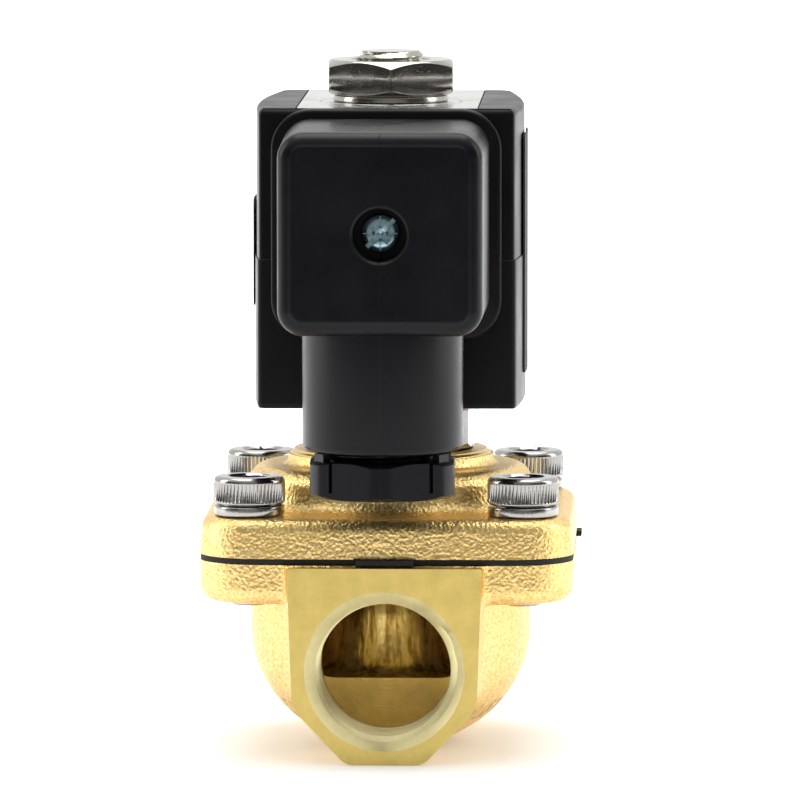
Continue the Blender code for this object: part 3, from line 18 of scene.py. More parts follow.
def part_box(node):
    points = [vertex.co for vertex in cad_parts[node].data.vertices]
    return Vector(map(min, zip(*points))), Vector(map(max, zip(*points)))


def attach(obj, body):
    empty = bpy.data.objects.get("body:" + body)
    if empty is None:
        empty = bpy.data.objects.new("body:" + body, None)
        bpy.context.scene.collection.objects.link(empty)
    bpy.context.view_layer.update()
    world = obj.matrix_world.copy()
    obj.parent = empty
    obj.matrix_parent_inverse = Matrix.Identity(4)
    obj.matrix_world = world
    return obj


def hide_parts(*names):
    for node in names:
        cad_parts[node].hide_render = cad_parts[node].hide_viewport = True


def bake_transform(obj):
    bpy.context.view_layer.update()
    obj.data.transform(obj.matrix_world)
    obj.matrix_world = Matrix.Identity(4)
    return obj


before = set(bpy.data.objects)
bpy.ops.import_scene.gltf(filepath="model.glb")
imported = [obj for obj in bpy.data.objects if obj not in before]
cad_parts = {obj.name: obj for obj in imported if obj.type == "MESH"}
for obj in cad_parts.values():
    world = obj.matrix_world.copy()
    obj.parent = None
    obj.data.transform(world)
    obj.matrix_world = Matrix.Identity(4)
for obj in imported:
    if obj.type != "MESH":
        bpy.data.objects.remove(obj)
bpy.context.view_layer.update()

MM = 0.001

# %% [markdown]
# ## Small tools
#
# Node trees are long to write by hand, so one helper adds a node, sets its properties, and either
# fills each input or links it. It serves shader trees and geometry trees alike. A second one turns
# lists of points and faces into an object that sits at the origin with its place in its mesh.


# %% Node, mesh and body helpers
def node(tree, kind, inputs=None, **settings):
    """Adds a node. An input given as a socket is linked, any other value is set."""
    made = tree.nodes.new(kind)
    for key, value in settings.items():
        setattr(made, key, value)
    for key, value in (inputs or {}).items():
        if isinstance(value, bpy.types.NodeSocket):
            tree.links.new(value, made.inputs[key])
        else:
            made.inputs[key].default_value = value
    return made


def sums(tree):
    """A short way to write the arithmetic in a tree."""
    def maths(operation, a, b=0.0, c=0.0):
        return node(tree, "ShaderNodeMath", {0: a, 1: b, 2: c}, operation=operation).outputs[0]

    return maths


def mesh_object(name, points, faces, *materials):
    mesh = bpy.data.meshes.new(name)
    mesh.from_pydata([tuple(p) for p in points], [], [tuple(f) for f in faces])
    mesh.validate()
    for finish in materials:
        mesh.materials.append(finish)
    made = bpy.data.objects.new(name, mesh)
    bpy.context.collection.objects.link(made)
    return made


def smooth(piece, degrees_sharp=35):
    piece.data.shade_smooth()
    piece.data.set_sharp_from_angle(angle=radians(degrees_sharp))
    return piece


def settle(piece):
    """Turns what the modifiers make into a plain mesh and removes them."""
    graph = bpy.context.evaluated_depsgraph_get()
    mesh = bpy.data.meshes.new_from_object(piece.evaluated_get(graph))
    piece.modifiers.clear()
    piece.data = mesh
    return piece


def dress(piece, body, nodes):
    """Puts a finished piece on its body in place of its CAD nodes.

    A material slot that a cutter left empty takes the piece's own finish.
    """
    for place in piece.material_slots:
        place.material = place.material or piece.material_slots[0].material
    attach(piece, body)
    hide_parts(*nodes)
    print(f"{piece.name}: {len(piece.data.polygons)} faces on {body}")
    return piece


def combine(piece, tool, operation="DIFFERENCE", solver="MANIFOLD"):
    """Cuts the piece with a tool, or joins the tool to it, and throws the tool away."""
    modifier = piece.modifiers.new("combine", "BOOLEAN")
    modifier.operation = operation
    modifier.solver = solver
    modifier.object = tool
    before = len(piece.data.polygons)
    settle(piece)
    assert len(piece.data.polygons) != before, f"{tool.name} changed nothing on {piece.name}"
    bpy.data.objects.remove(tool, do_unlink=True)
    return piece


# %% [markdown]
# ## Finishes
#
# The valve has nearly twenty finishes. Each one reads Object coordinates in metres, so a grain of half a
# millimetre is a noise of scale 2000. Colour varies a little over every surface, because no real
# casting, moulding or plating is one flat colour, and bump carries what is too fine to model.


# %% A finish with its shader and its coordinates
def new_finish(name, colour, roughness, metallic=0.0):
    """A material with its tree, its shader and its Object coordinates."""
    made = bpy.data.materials.new(name)
    made.use_nodes = True
    tree = made.node_tree
    shader = tree.nodes["Principled BSDF"]
    shader.inputs["Base Color"].default_value = (*colour, 1.0)
    shader.inputs["Roughness"].default_value = roughness
    shader.inputs["Metallic"].default_value = metallic
    place = node(tree, "ShaderNodeTexCoord").outputs["Object"]
    return made, tree, shader, place


def noise(tree, place, scale, detail=3.0, rough=0.55, stretch=None):
    """A noise whose scale is in cycles per metre; stretch squeezes it along X, Y and Z."""
    if stretch:
        place = node(tree, "ShaderNodeMapping", {"Vector": place, "Scale": stretch}).outputs[0]
    made = node(tree, "ShaderNodeTexNoise", {"Vector": place, "Scale": scale, "Detail": detail,
                                             "Roughness": rough})
    return made.outputs["Fac"]


def between(tree, value, low, high, start=0.0, end=1.0):
    """Maps a value from start..end to low..high, clamped."""
    made = node(tree, "ShaderNodeMapRange", {"Value": value, "From Min": start, "From Max": end,
                                             "To Min": low, "To Max": high})
    return made.outputs["Result"]


def tint(tree, value, *stops):
    """A colour ramp from (position, colour) stops."""
    ramp = node(tree, "ShaderNodeValToRGB", {"Fac": value})
    elements = ramp.color_ramp.elements
    while len(elements) < len(stops):
        elements.new(0.5)
    for element, (position, colour) in zip(elements, stops):
        element.position = position
        element.color = (*colour, 1.0)
    return ramp.outputs["Color"]


def mottle(tree, shader, value, dark, light, high=0.7):
    """Colours a surface from dark to light by a slow noise."""
    tree.links.new(tint(tree, value, (0.3, dark), (high, light)), shader.inputs["Base Color"])


def roughen(tree, shader, value, low, high):
    tree.links.new(between(tree, value, low, high, 0.3, 0.7), shader.inputs["Roughness"])


def shade(colour, factor):
    return tuple(min(channel * factor, 1.0) for channel in colour)


def bump(tree, shader, *layers):
    """Stacks (height, distance in metres, strength) layers on the shader's normal."""
    normal = None
    for height, distance, strength in layers:
        inputs = {"Height": height, "Distance": distance, "Strength": strength}
        if normal:
            inputs["Normal"] = normal
        normal = node(tree, "ShaderNodeBump", inputs).outputs["Normal"]
    tree.links.new(normal, shader.inputs["Normal"])


# %% [markdown]
# ### Cast brass and machined brass
#
# The body and cover are sand cast and then blasted: a pebbly grain about half a millimetre across
# that glints, over a slow unevenness. The pits are browner, the tops paler. Where a cutter has been,
# the same metal is smoother and greener, with fine tool lines. In the port's chamfer and threads it is
# also painted paler, as a highlight, and inside the chamber it is painted darker, as shade.


# %% Cast brass
def speckled(tree, grain, stain, spread):
    """A fine grain, made lighter or darker by a slow stain."""
    return sums(tree)("ADD", grain, between(tree, stain, -spread, spread, 0.3, 0.7))


def cast_brass():
    made, tree, shader, place = new_finish("cast_brass", (0.86, 0.6, 0.22), 0.36, 1.0)
    grain = noise(tree, place, 2300, 2, 0.5)
    pebbles = node(tree, "ShaderNodeTexVoronoi", {"Vector": place, "Scale": 2100}, feature="SMOOTH_F1")
    swell = noise(tree, place, 160, 2, 0.5)
    stain = noise(tree, place, 60, 4, 0.6)
    colour = tint(tree, speckled(tree, grain, stain, 0.05),
                  (0.3, (0.74, 0.49, 0.16)), (0.52, (0.88, 0.63, 0.25)), (0.75, (0.97, 0.76, 0.37)))
    tree.links.new(colour, shader.inputs["Base Color"])
    roughen(tree, shader, grain, 0.46, 0.28)
    bump(tree, shader, (swell, 0.00025, 0.5), (grain, 0.00014, 0.9),
         (pebbles.outputs["Distance"], 0.00012, 0.8))
    return made


# %% Machined brass, flat and threaded
def machined_brass(name, colour, line_scale, stretch, metallic=1.0):
    made, tree, shader, place = new_finish(name, colour, 0.34, metallic)
    lines = noise(tree, place, line_scale, 2, 0.5, stretch)
    smear = noise(tree, place, 220, 4, 0.6)
    mottle(tree, shader, smear, shade(colour, 0.8), shade(colour, 1.1))
    roughen(tree, shader, smear, 0.28, 0.44)
    bump(tree, shader, (smear, 0.0001, 0.25), (lines, 0.00002, 0.5))
    return made


def cavity_brass_painted_shade():
    """The inside of the chamber and pocket, painted darker and browner as shade, with streaks down the seat
    tube.
    """
    made, tree, shader, place = new_finish("cavity_brass_painted_shade", (0.6, 0.4, 0.12), 0.3, 0.8)
    streaks = noise(tree, place, 900, 4, 0.65, (1, 1, 0.16))
    stain = noise(tree, place, 180, 3, 0.6)
    # Painted shade: the cavity's brass is darker and browner than the casting outside, in streaks along Z.
    colour = tint(tree, speckled(tree, streaks, stain, 0.15),
                  (0.32, (0.34, 0.19, 0.03)), (0.5, (0.8, 0.54, 0.14)), (0.72, (0.98, 0.76, 0.3)))
    tree.links.new(colour, shader.inputs["Base Color"])
    bump(tree, shader, (streaks, 0.0002, 0.7), (noise(tree, place, 1700, 2, 0.5), 0.00008, 0.5))
    return made


CAST = cast_brass()
CAVITY_SHADE = cavity_brass_painted_shade()
PORT_FACE = machined_brass("port_face_brass", (0.72, 0.55, 0.17), 600, (1.0, 1.0, 4.0))
# Cut brass is paler than cast; this finish is made paler still and less metallic, a painted highlight on the
# port's chamfer and threads.
THREADED_HIGHLIT = machined_brass("threaded_brass_painted_highlight", (0.98, 0.84, 0.46), 900, (1.0, 6.0, 1.0), 0.6)
print("brass finishes:", CAST.name, PORT_FACE.name, THREADED_HIGHLIT.name)

# %% [markdown]
# ### Turned faces
#
# A face turned in a lathe carries rings about its axis. The rings come from the distance to that
# axis, so one recipe serves the end wall of the port, whose axis lies along Y, and the parts that are
# turned about Z.


# %% Brass with turning rings about an axis
def turned_brass(name, colour, centre, squash, rings):
    """Rings about a line through centre; squash is zero along the line and one across it."""
    made, tree, shader, place = new_finish(name, colour, 0.3, 1.0)
    maths = sums(tree)
    shifted = node(tree, "ShaderNodeVectorMath", {0: place, 1: centre}, operation="SUBTRACT").outputs[0]
    across = node(tree, "ShaderNodeVectorMath", {0: shifted, 1: squash}, operation="MULTIPLY").outputs[0]
    reach = node(tree, "ShaderNodeVectorMath", {0: across}, operation="LENGTH").outputs["Value"]
    ridge = maths("SINE", maths("MULTIPLY", reach, rings * tau))
    smear = noise(tree, place, 300, 3, 0.6)
    mottle(tree, shader, smear, shade(colour, 0.78), colour)
    bump(tree, shader, (ridge, 0.00003, 0.7), (smear, 0.00006, 0.3))
    return made


END_WALL = turned_brass("end_wall_brass", (0.82, 0.54, 0.14), (0, 0, 13.2 * MM), (1, 0, 1), 2700)
TURNED = turned_brass("turned_brass", (0.88, 0.65, 0.26), (0, 0, 0), (1, 1, 0), 2200)

# %% [markdown]
# ### Steels
#
# The nut is nickel plated and nearly a mirror, the screws are bright stainless, the tube's hexagon is
# milled, the coil's plates are plain zinc, and the connector's screw is passivated blue. They share
# one recipe: a slow variation of roughness, fine scratches along one direction, and small pits.


# %% A steel recipe
def steel(name, colour, roughness, spread, scratch, stretch, depth):
    made, tree, shader, place = new_finish(name, colour, roughness, 1.0)
    cloud = noise(tree, place, 260, 4, 0.6)
    marks = noise(tree, place, scratch, 3, 0.6, stretch)
    specks = noise(tree, place, 2600, 2, 0.5)
    mottle(tree, shader, cloud, shade(colour, 0.82), colour, 0.65)
    roughen(tree, shader, cloud, roughness - spread, roughness + spread)
    pits = between(tree, specks, 0, 1, 0.62, 0.75)
    bump(tree, shader, (cloud, 0.00008, 0.2), (marks, depth, 0.4), (pits, 0.00003, 0.3))
    return made


NICKEL = steel("nickel", (0.45, 0.43, 0.385), 0.13, 0.05, 500, (1, 1, 8), 0.00001)
SCREW_STEEL = steel("screw_steel", (0.43, 0.42, 0.4), 0.17, 0.06, 700, (1, 1, 1), 0.00001)
HEX_STEEL = steel("hexagon_steel", (0.74, 0.74, 0.73), 0.27, 0.05, 900, (1, 1, 0.1), 0.00002)
PLATE_STEEL = steel("plate_steel", (0.7, 0.7, 0.68), 0.24, 0.06, 700, (0.12, 1, 1), 0.00002)
WIRE_STEEL = steel("wire_steel", (0.55, 0.54, 0.52), 0.28, 0.06, 800, (1, 1, 1), 0.00001)
ZINC = steel("blue_zinc", (0.42, 0.62, 0.68), 0.24, 0.07, 700, (1, 1, 1), 0.00002)
COPPER = steel("copper", (0.78, 0.36, 0.2), 0.3, 0.06, 2400, (0.05, 0.05, 1), 0.00006)
print("steels:", NICKEL.name, SCREW_STEEL.name, HEX_STEEL.name, PLATE_STEEL.name, ZINC.name)

# %% [markdown]
# ### Plastics, rubber and film
#
# The coil is filled resin with a spark-eroded grain. The connector is glass-filled nylon from a
# smoother mould, with a fine seam where the two mould halves met in its middle plane.


# %% Plastics
def plastic(name, colour, roughness, grain_scale, grain_depth, gloss=0.3, seam=False):
    made, tree, shader, place = new_finish(name, colour, roughness)
    cloud = noise(tree, place, 120, 3, 0.6)
    grain = noise(tree, place, grain_scale, 3, 0.6)
    light = tuple(channel * 1.3 + 0.001 for channel in colour)
    mottle(tree, shader, cloud, colour, light, 0.75)
    roughen(tree, shader, cloud, roughness - 0.05, roughness + 0.06)
    shader.inputs["Specular IOR Level"].default_value = gloss
    layers = [(grain, grain_depth, 0.6), (cloud, 0.0002, 0.12)]
    if seam:
        split = node(tree, "ShaderNodeSeparateXYZ", {"Vector": place}).outputs
        from_middle = sums(tree)("ABSOLUTE", split["X"])
        layers.append((between(tree, from_middle, 1, 0, 0.00003, 0.00012), 0.00005, 0.8))
    bump(tree, shader, *layers)
    return made


COIL_RESIN = plastic("coil_resin", (0.0032, 0.0032, 0.0035), 0.33, 2300, 0.00004, gloss=0.12)
CONNECTOR_NYLON = plastic("connector_nylon", (0.0022, 0.0025, 0.0034), 0.3, 3800, 0.000012, gloss=0.18,
                          seam=True)
BOBBIN_NYLON = plastic("bobbin_nylon", (0.62, 0.58, 0.47), 0.45, 1500, 0.00002, gloss=0.5)
RUBBER = plastic("rubber", (0.01, 0.01, 0.01), 0.66, 2000, 0.00003)
LABEL = plastic("label_film", (0.02, 0.02, 0.022), 0.55, 900, 0.00001, gloss=0.15)
print("plastics:", COIL_RESIN.name, CONNECTOR_NYLON.name, BOBBIN_NYLON.name, RUBBER.name, LABEL.name)

# %% [markdown]
# ## A casting as a formula
#
# A casting has no sharp inner corner: where the bowl meets the port bar there is a fillet, and every
# edge is rounded. Fillets between curved solids are hard to bevel but easy to say as a distance
# field: each simple solid is a function that gives the distance to its surface, and a smooth minimum
# of two functions is their union with a fillet. The zero surface is then skinned on a grid, with one
# point in each cell it crosses, and each point is slid onto the exact surface.


# %% Distance fields
def smooth_min(a, b, fillet):
    """The union of two fields with a fillet of about this size."""
    near = np.maximum(fillet - np.abs(a - b), 0.0) / fillet
    return np.minimum(a, b) - near * near * fillet / 4


def smooth_max(a, b, fillet):
    return -smooth_min(-a, -b, fillet)


def rounded_square(x, y, half, corner):
    qx = np.abs(x) - half + corner
    qy = np.abs(y) - half + corner
    return np.hypot(np.maximum(qx, 0), np.maximum(qy, 0)) + np.minimum(np.maximum(qx, qy), 0) - corner


def extruded(flat, z, low, high, edge):
    """A flat field given a height, with its edges rounded."""
    qa = flat + edge
    qz = np.abs(z - (low + high) / 2) - (high - low) / 2 + edge
    return np.hypot(np.maximum(qa, 0), np.maximum(qz, 0)) + np.minimum(np.maximum(qa, qz), 0) - edge


# %% Skin a field
def grid_walk(number, crossing, inside, axis):
    """Quads round the grid edges along one axis that the surface crosses."""
    others = [i for i in range(3) if i != axis]
    trimmed = [slice(1, -1)] * 3
    trimmed[axis] = slice(None)
    edges = np.argwhere(crossing[tuple(trimmed)])
    edges[:, others] += 1
    cells = []
    for du, dv in ((-1, -1), (0, -1), (0, 0), (-1, 0)):
        cell = edges.copy()
        cell[:, others[0]] += du
        cell[:, others[1]] += dv
        cells.append(number[tuple(cell.T)])
    quads = np.stack(cells, axis=1)
    starts_inside = inside[tuple(edges.T)]
    flip = starts_inside if axis == 1 else ~starts_inside
    quads[flip] = quads[flip][:, ::-1]
    return quads


def skin_field(field, low, high, cell):
    """Points and quads of the closed surface where field(x, y, z) is zero."""
    ticks = [np.arange(a - 2.3 * cell, b + 3.3 * cell, cell) for a, b in zip(low, high)]
    values = field(*np.meshgrid(*ticks, indexing="ij"))
    inside = values < 0
    shape = tuple(n - 1 for n in values.shape)

    def at(grid, corner):
        return grid[tuple(slice(c, c + n) for c, n in zip(corner, shape))]

    corners = [(i, j, k) for i in (0, 1) for j in (0, 1) for k in (0, 1)]
    count = sum(at(inside, c).astype(np.int8) for c in corners)
    mixed = (count > 0) & (count < 8)
    number = np.full(shape, -1)
    number[mixed] = np.arange(mixed.sum())
    total = np.zeros((mixed.sum(), 3))
    hits = np.zeros(mixed.sum())
    for axis in range(3):
        for corner in corners:
            if corner[axis]:
                continue
            far = tuple(c + (i == axis) for i, c in enumerate(corner))
            a = at(values, corner)[mixed]
            b = at(values, far)[mixed]
            crossed = (a < 0) != (b < 0)
            spot = np.tile(np.array(corner, float), (len(a), 1))
            spot[:, axis] = np.where(crossed, a / np.where(crossed, a - b, 1), 0)
            total[crossed] += spot[crossed]
            hits[crossed] += 1
    origin = np.array([tick[0] for tick in ticks])
    points = origin + (np.argwhere(mixed) + total / hits[:, None]) * cell
    quads = []
    for axis in range(3):
        ahead = np.roll(inside, -1, axis)
        crossing = inside != ahead
        end = [slice(None)] * 3
        end[axis] = -1
        crossing[tuple(end)] = False
        quads.append(grid_walk(number, crossing, inside, axis))
    return slide_on(field, points, cell), np.concatenate(quads)


def slide_on(field, points, cell, rounds=3):
    """Moves each point along the field's slope onto the zero surface."""
    step = cell * 0.05
    for _ in range(rounds):
        here = field(*points.T)
        slope = np.stack([
            (field(*(points + offset).T) - field(*(points - offset).T)) / (2 * step)
            for offset in np.eye(3) * step
        ], axis=1)
        length = np.maximum((slope ** 2).sum(1), 0.2)
        move = -(here / length)[:, None] * slope
        points = points + np.clip(move, -0.6 * cell, 0.6 * cell)
    return points


# %% [markdown]
# ## The body blank
#
# The casting is a square flange on a bowl, with an octagonal bar through both ports. Inside, a ring
# shaped chamber surrounds the seat tube, which flares out at its root, and a pocket opens the
# chamber down to the inlet. The sizes that the frame knows are read from it.

# %% Body sizes
body_low, body_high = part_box("valve_body")
FLANGE_HALF = body_high.x
FLANGE_CORNER = 9.0 * MM
PORT_Y = body_high.y
DECK_Z = body_high.z
FLANGE_LOW = DECK_Z - 5.75 * MM
PORT_Z = 13.2 * MM
BOWL_R = 20.0 * MM
BOWL_BEND = 17.0 * MM
SEAT_R = 9.5 * MM
CHAMBER_R = 16.5 * MM
CHAMBER_FLOOR = 20.0 * MM
POCKET_FLOOR = 10.6 * MM
POCKET_BACK = -2.0 * MM
PORT_THREAD_R = 9.3 * MM
PORT_MOUTH_R = 11.25 * MM
PORT_END = 13.5 * MM
CELL = 0.46 * MM


# %% Body field
def bar_field(x, z):
    """An octagonal section: flat foot, sloped flanks, sides that open slightly upwards."""
    half_foot, half_bar, knee = 5.4, 13.0, 8.0  # in mm
    slope = Vector((half_bar - half_foot, knee)).normalized()
    flank = (np.abs(x) - half_foot * MM) * slope.y - z * slope.x
    lean = Vector((0.7, 20.0)).normalized()
    side = (np.abs(x) - half_bar * MM) * lean.y - (z - knee * MM) * lean.x
    return smooth_max(smooth_max(flank, side, 1.2 * MM), -z, 0.9 * MM)


def body_field(x, y, z):
    radius = np.hypot(x, y)
    qr = radius - (BOWL_R - BOWL_BEND)
    qz = BOWL_BEND - z
    bowl = np.hypot(np.maximum(qr, 0), np.maximum(qz, 0)) + np.minimum(np.maximum(qr, qz), 0) - BOWL_BEND
    bowl = np.maximum(bowl, z - DECK_Z - 1 * MM)
    flange = extruded(rounded_square(x, y, FLANGE_HALF - 0.05 * MM, FLANGE_CORNER), z,
                      FLANGE_LOW, DECK_Z + 3 * MM, 2.2 * MM)
    bar = np.maximum(bar_field(x, z), z - DECK_Z + 0.3 * MM)
    bar = np.maximum(bar, np.abs(y) - PORT_Y - 1 * MM)
    solid = smooth_min(smooth_min(bowl, bar, 3.0 * MM), flange, 1.8 * MM)

    flare = SEAT_R + 2.2 * MM * np.exp(-np.maximum(z - POCKET_FLOOR, 0) / (1.6 * MM)) * (y < 4 * MM)
    ring = smooth_max(flare - radius, radius - CHAMBER_R, 0.6 * MM)
    room = smooth_max(ring, CHAMBER_FLOOR - z, 1.5 * MM)
    pocket = smooth_max(smooth_max(ring, POCKET_FLOOR - z, 1.2 * MM), y - POCKET_BACK, 1.0 * MM)
    pocket = np.maximum(pocket, z - CHAMBER_FLOOR - 2 * MM)
    return smooth_max(solid, -smooth_min(room, pocket, 1.0 * MM), 0.8 * MM)


# %% Skin the body
points, quads = skin_field(body_field, (-27 * MM, -30 * MM, -1 * MM),
                           (27 * MM, 30 * MM, DECK_Z + 3 * MM), CELL)
body = mesh_object("body_casting", points, quads, CAST, PORT_FACE, THREADED_HIGHLIT, END_WALL, CAVITY_SHADE)
print(f"body blank: {len(points)} points, {len(quads)} quads")

# %% [markdown]
# ## Machining the body
#
# As in the workshop, the casting is then cut: the deck and both port faces are milled flat, the ports
# are bored, chamfered and tapped, and the seat is bored. A tap is a rod whose radius follows a
# triangle wave along a helix, which is a rule, so Geometry Nodes makes it: a cylinder's points move
# in or out by their phase on the helix. The same tree later makes the stud and the screw threads.


# %% The start and the end of a geometry tree
def start_tree(name, **kinds):
    """A tree with named inputs, given as name=kind of socket; returns it, its inputs and its sums."""
    tree = bpy.data.node_groups.new(name, "GeometryNodeTree")
    tree.interface.new_socket("Geometry", in_out="OUTPUT", socket_type="NodeSocketGeometry")
    for key, kind in {**kinds, "Finish": "Material"}.items():
        tree.interface.new_socket(key, in_out="INPUT", socket_type=f"NodeSocket{kind}")
    return tree, node(tree, "NodeGroupInput").outputs, sums(tree)


def end_tree(tree, shape, finish):
    """Realizes what the tree made and gives it its finish."""
    real = node(tree, "GeometryNodeRealizeInstances", {"Geometry": shape})
    painted = node(tree, "GeometryNodeSetMaterial", {"Geometry": real.outputs[0], "Material": finish})
    node(tree, "NodeGroupOutput", {"Geometry": painted.outputs[0]})
    return tree


# %% The thread tree
def thread_tree():
    """A rod along Z from 0 to Length, with a triangular thread cut into it."""
    tree, given, maths = start_tree("thread", Radius="Float", Depth="Float", Pitch="Float", Length="Float",
                                    Runout="Float", Around="Int", Along="Int")
    rod = node(tree, "GeometryNodeMeshCylinder", {
        "Vertices": given["Around"], "Side Segments": given["Along"],
        "Radius": given["Radius"], "Depth": given["Length"],
    })
    lift = node(tree, "ShaderNodeCombineXYZ", {"Z": maths("MULTIPLY", given["Length"], 0.5)})
    upright = node(tree, "GeometryNodeTransform", {"Geometry": rod.outputs["Mesh"],
                                                   "Translation": lift.outputs[0]})
    place = node(tree, "GeometryNodeInputPosition").outputs[0]
    split = node(tree, "ShaderNodeSeparateXYZ", {"Vector": place}).outputs
    turn = maths("DIVIDE", maths("ARCTAN2", split["Y"], split["X"]), tau)
    phase = maths("FRACT", maths("SUBTRACT", maths("DIVIDE", split["Z"], given["Pitch"]), turn))
    ridge = maths("ABSOLUTE", maths("MULTIPLY_ADD", phase, 2.0, -1.0))
    crest = node(tree, "ShaderNodeClamp", {"Value": maths("MULTIPLY_ADD", ridge, 1.35, -0.18)}).outputs[0]
    low_end = maths("DIVIDE", split["Z"], given["Runout"])
    high_end = maths("DIVIDE", maths("SUBTRACT", given["Length"], split["Z"]), given["Runout"])
    fade = node(tree, "ShaderNodeClamp", {"Value": maths("MINIMUM", low_end, high_end)}).outputs[0]
    deepest = maths("MAXIMUM", crest, maths("SUBTRACT", 1.0, fade))
    cut = maths("MULTIPLY", deepest, given["Depth"])
    share = maths("DIVIDE", maths("SUBTRACT", given["Radius"], cut), given["Radius"])
    scaled = node(tree, "ShaderNodeVectorMath", {0: place, "Scale": share}, operation="SCALE").outputs[0]
    flat = node(tree, "ShaderNodeSeparateXYZ", {"Vector": scaled}).outputs
    moved = node(tree, "ShaderNodeCombineXYZ", {"X": flat["X"], "Y": flat["Y"], "Z": split["Z"]})
    shaped = node(tree, "GeometryNodeSetPosition", {"Geometry": upright.outputs[0],
                                                    "Position": moved.outputs[0]})
    return end_tree(tree, shaped.outputs[0], given["Finish"])


THREAD = thread_tree()


# %% Run a tree, move a mesh, join meshes
def grow(piece, tree, **inputs):
    """Runs a geometry tree on a piece, or on nothing if given a name, and keeps the mesh it makes."""
    if isinstance(piece, str):
        piece = mesh_object(piece, [], [])
    modifier = piece.modifiers.new("grow", "NODES")
    modifier.node_group = tree
    for item in tree.interface.items_tree:
        if item.in_out == "INPUT" and item.name in inputs:
            modifier[item.identifier] = inputs[item.name]
    return settle(piece)


def moved(piece, turn=(0, 0, 0), shift=(0, 0, 0)):
    """Turns a mesh by degrees about X, Y and Z, then shifts it. The object stays at the origin."""
    turning = Euler([radians(a) for a in turn]).to_matrix().to_4x4()
    piece.data.transform(Matrix.Translation(Vector(shift)) @ turning)
    return piece


def join(piece, *others):
    with bpy.context.temp_override(active_object=piece, selected_editable_objects=[piece, *others]):
        bpy.ops.object.join()
    return piece


def face_out(piece):
    """Recalculates the normals so that they point outwards."""
    work = bmesh.new()
    work.from_mesh(piece.data)
    bmesh.ops.recalc_face_normals(work, faces=work.faces)
    work.to_mesh(piece.data)
    work.free()


# %% Skin a row of loops, and the two solids that come from it
ROUND = 144


def skin(name, loops, finish=None, ring=False, sharp=35):
    """Joins loops of points with quads. A loop of one point is a pole; a ring has no ends."""
    points = [p for loop in loops for p in loop]
    rows = []
    first = 0
    for loop in loops:
        rows.append(range(first, first + len(loop)))
        first += len(loop)
    faces = []
    for low, high in zip(rows, rows[1:] + rows[:1] if ring else rows[1:]):
        count = max(len(low), len(high))
        for i in range(count):
            j = (i + 1) % count
            quad = (low[i % len(low)], low[j % len(low)], high[j % len(high)], high[i % len(high)])
            faces.append(list(dict.fromkeys(quad)))
    if not ring:
        faces += [list(row) for row in (rows[0], rows[-1]) if len(row) > 1]
    made = mesh_object(name, points, faces, *([finish] if finish else []))
    face_out(made)
    return smooth(made, sharp)


def circle(radius, z, steps=ROUND):
    if radius == 0:
        return [(0, 0, z)]
    return [(radius * cos(tau * i / steps), radius * sin(tau * i / steps), z) for i in range(steps)]


def lathe(name, profile, steps=96, finish=None):
    """Turns a profile of (radius, z) about Z; one that never meets the axis is a closed ring."""
    ring = all(radius > 0 for radius, z in profile)
    return skin(name, [circle(radius, z, steps) for radius, z in profile], finish, ring)


def rod(name, radius, low, high, steps=48, at=(0, 0, 0), turn=(0, 0, 0)):
    """A plain drill along Z, turned and put in place."""
    profile = [(0, low), (radius, low), (radius, high), (0, high)]
    return moved(lathe(name, profile, steps), turn, at)


def slab(name, low, high):
    """A milling tool: a box between two corners."""
    xs, ys, zs = zip(low, high)
    outline = [(xs[0], ys[0]), (xs[1], ys[0]), (xs[1], ys[1]), (xs[0], ys[1])]
    return skin(name, [[(x, y, z) for x, y in outline] for z in zs])


def soften(piece, width, segments=2, sharp=35):
    """Bevels the sharp edges."""
    modifier = piece.modifiers.new("soften", "BEVEL")
    modifier.width = width
    modifier.segments = segments
    modifier.limit_method = "ANGLE"
    modifier.angle_limit = radians(40)
    modifier.use_clamp_overlap = True
    return smooth(settle(piece), sharp)


TO_FRONT = (90, 0, 0)
TO_REAR = (-90, 0, 0)


# %% Mill, bore and tap the body
FAR = 60 * MM
TAP_R = 10.35 * MM
TAP_PITCH = 1.814 * MM
SEAT_BORE_R = 7 * MM
combine(body, slab("deck_cutter", (-FAR, -FAR, DECK_Z), (FAR, FAR, FAR)))
combine(body, slab("foot_cutter", (-FAR, -FAR, -FAR), (FAR, FAR, 0)))
for side, facing in ((-1, TO_FRONT), (1, TO_REAR)):
    low = (-FAR, min(side * PORT_Y, side * FAR), -FAR)
    high = (FAR, max(side * PORT_Y, side * FAR), FAR)
    combine(body, slab("port_face_cutter", low, high))
    bore = [
        (0, PORT_END),
        (PORT_THREAD_R, PORT_END),
        (PORT_THREAD_R, PORT_Y - 1.95 * MM),
        (PORT_MOUTH_R, PORT_Y),
        (PORT_MOUTH_R, PORT_Y + 2 * MM),
        (0, PORT_Y + 2 * MM),
    ]
    combine(body, moved(lathe("port_drill", bore, 144), facing, (0, 0, PORT_Z)))
    tap = grow("port_tap", THREAD, Radius=TAP_R, Depth=1.2 * MM, Pitch=TAP_PITCH, Length=12 * MM,
               Runout=0.6 * MM, Around=144, Along=96)
    combine(body, moved(tap, facing, (0, side * (PORT_END + 3.5 * MM), PORT_Z)))
seat = [
    (0, 4.5 * MM),
    (SEAT_BORE_R, 4.5 * MM),
    (SEAT_BORE_R, 24.9 * MM),
    (7.5 * MM, 25.4 * MM),
    (CHAMBER_R - 0.2 * MM, 25.4 * MM),
    (CHAMBER_R - 0.2 * MM, 40 * MM),
    (0, 40 * MM),
]
combine(body, lathe("seat_drill", seat, 128))
combine(body, rod("outlet_drill", SEAT_BORE_R, 0, 16 * MM, 96, (0, 0, 11.5 * MM), TO_REAR))
screw_boxes = [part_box(f"cover_screw_{n}") for n in range(1, 5)]
screw_axes = [((low.x + high.x) / 2, (low.y + high.y) / 2) for low, high in screw_boxes]
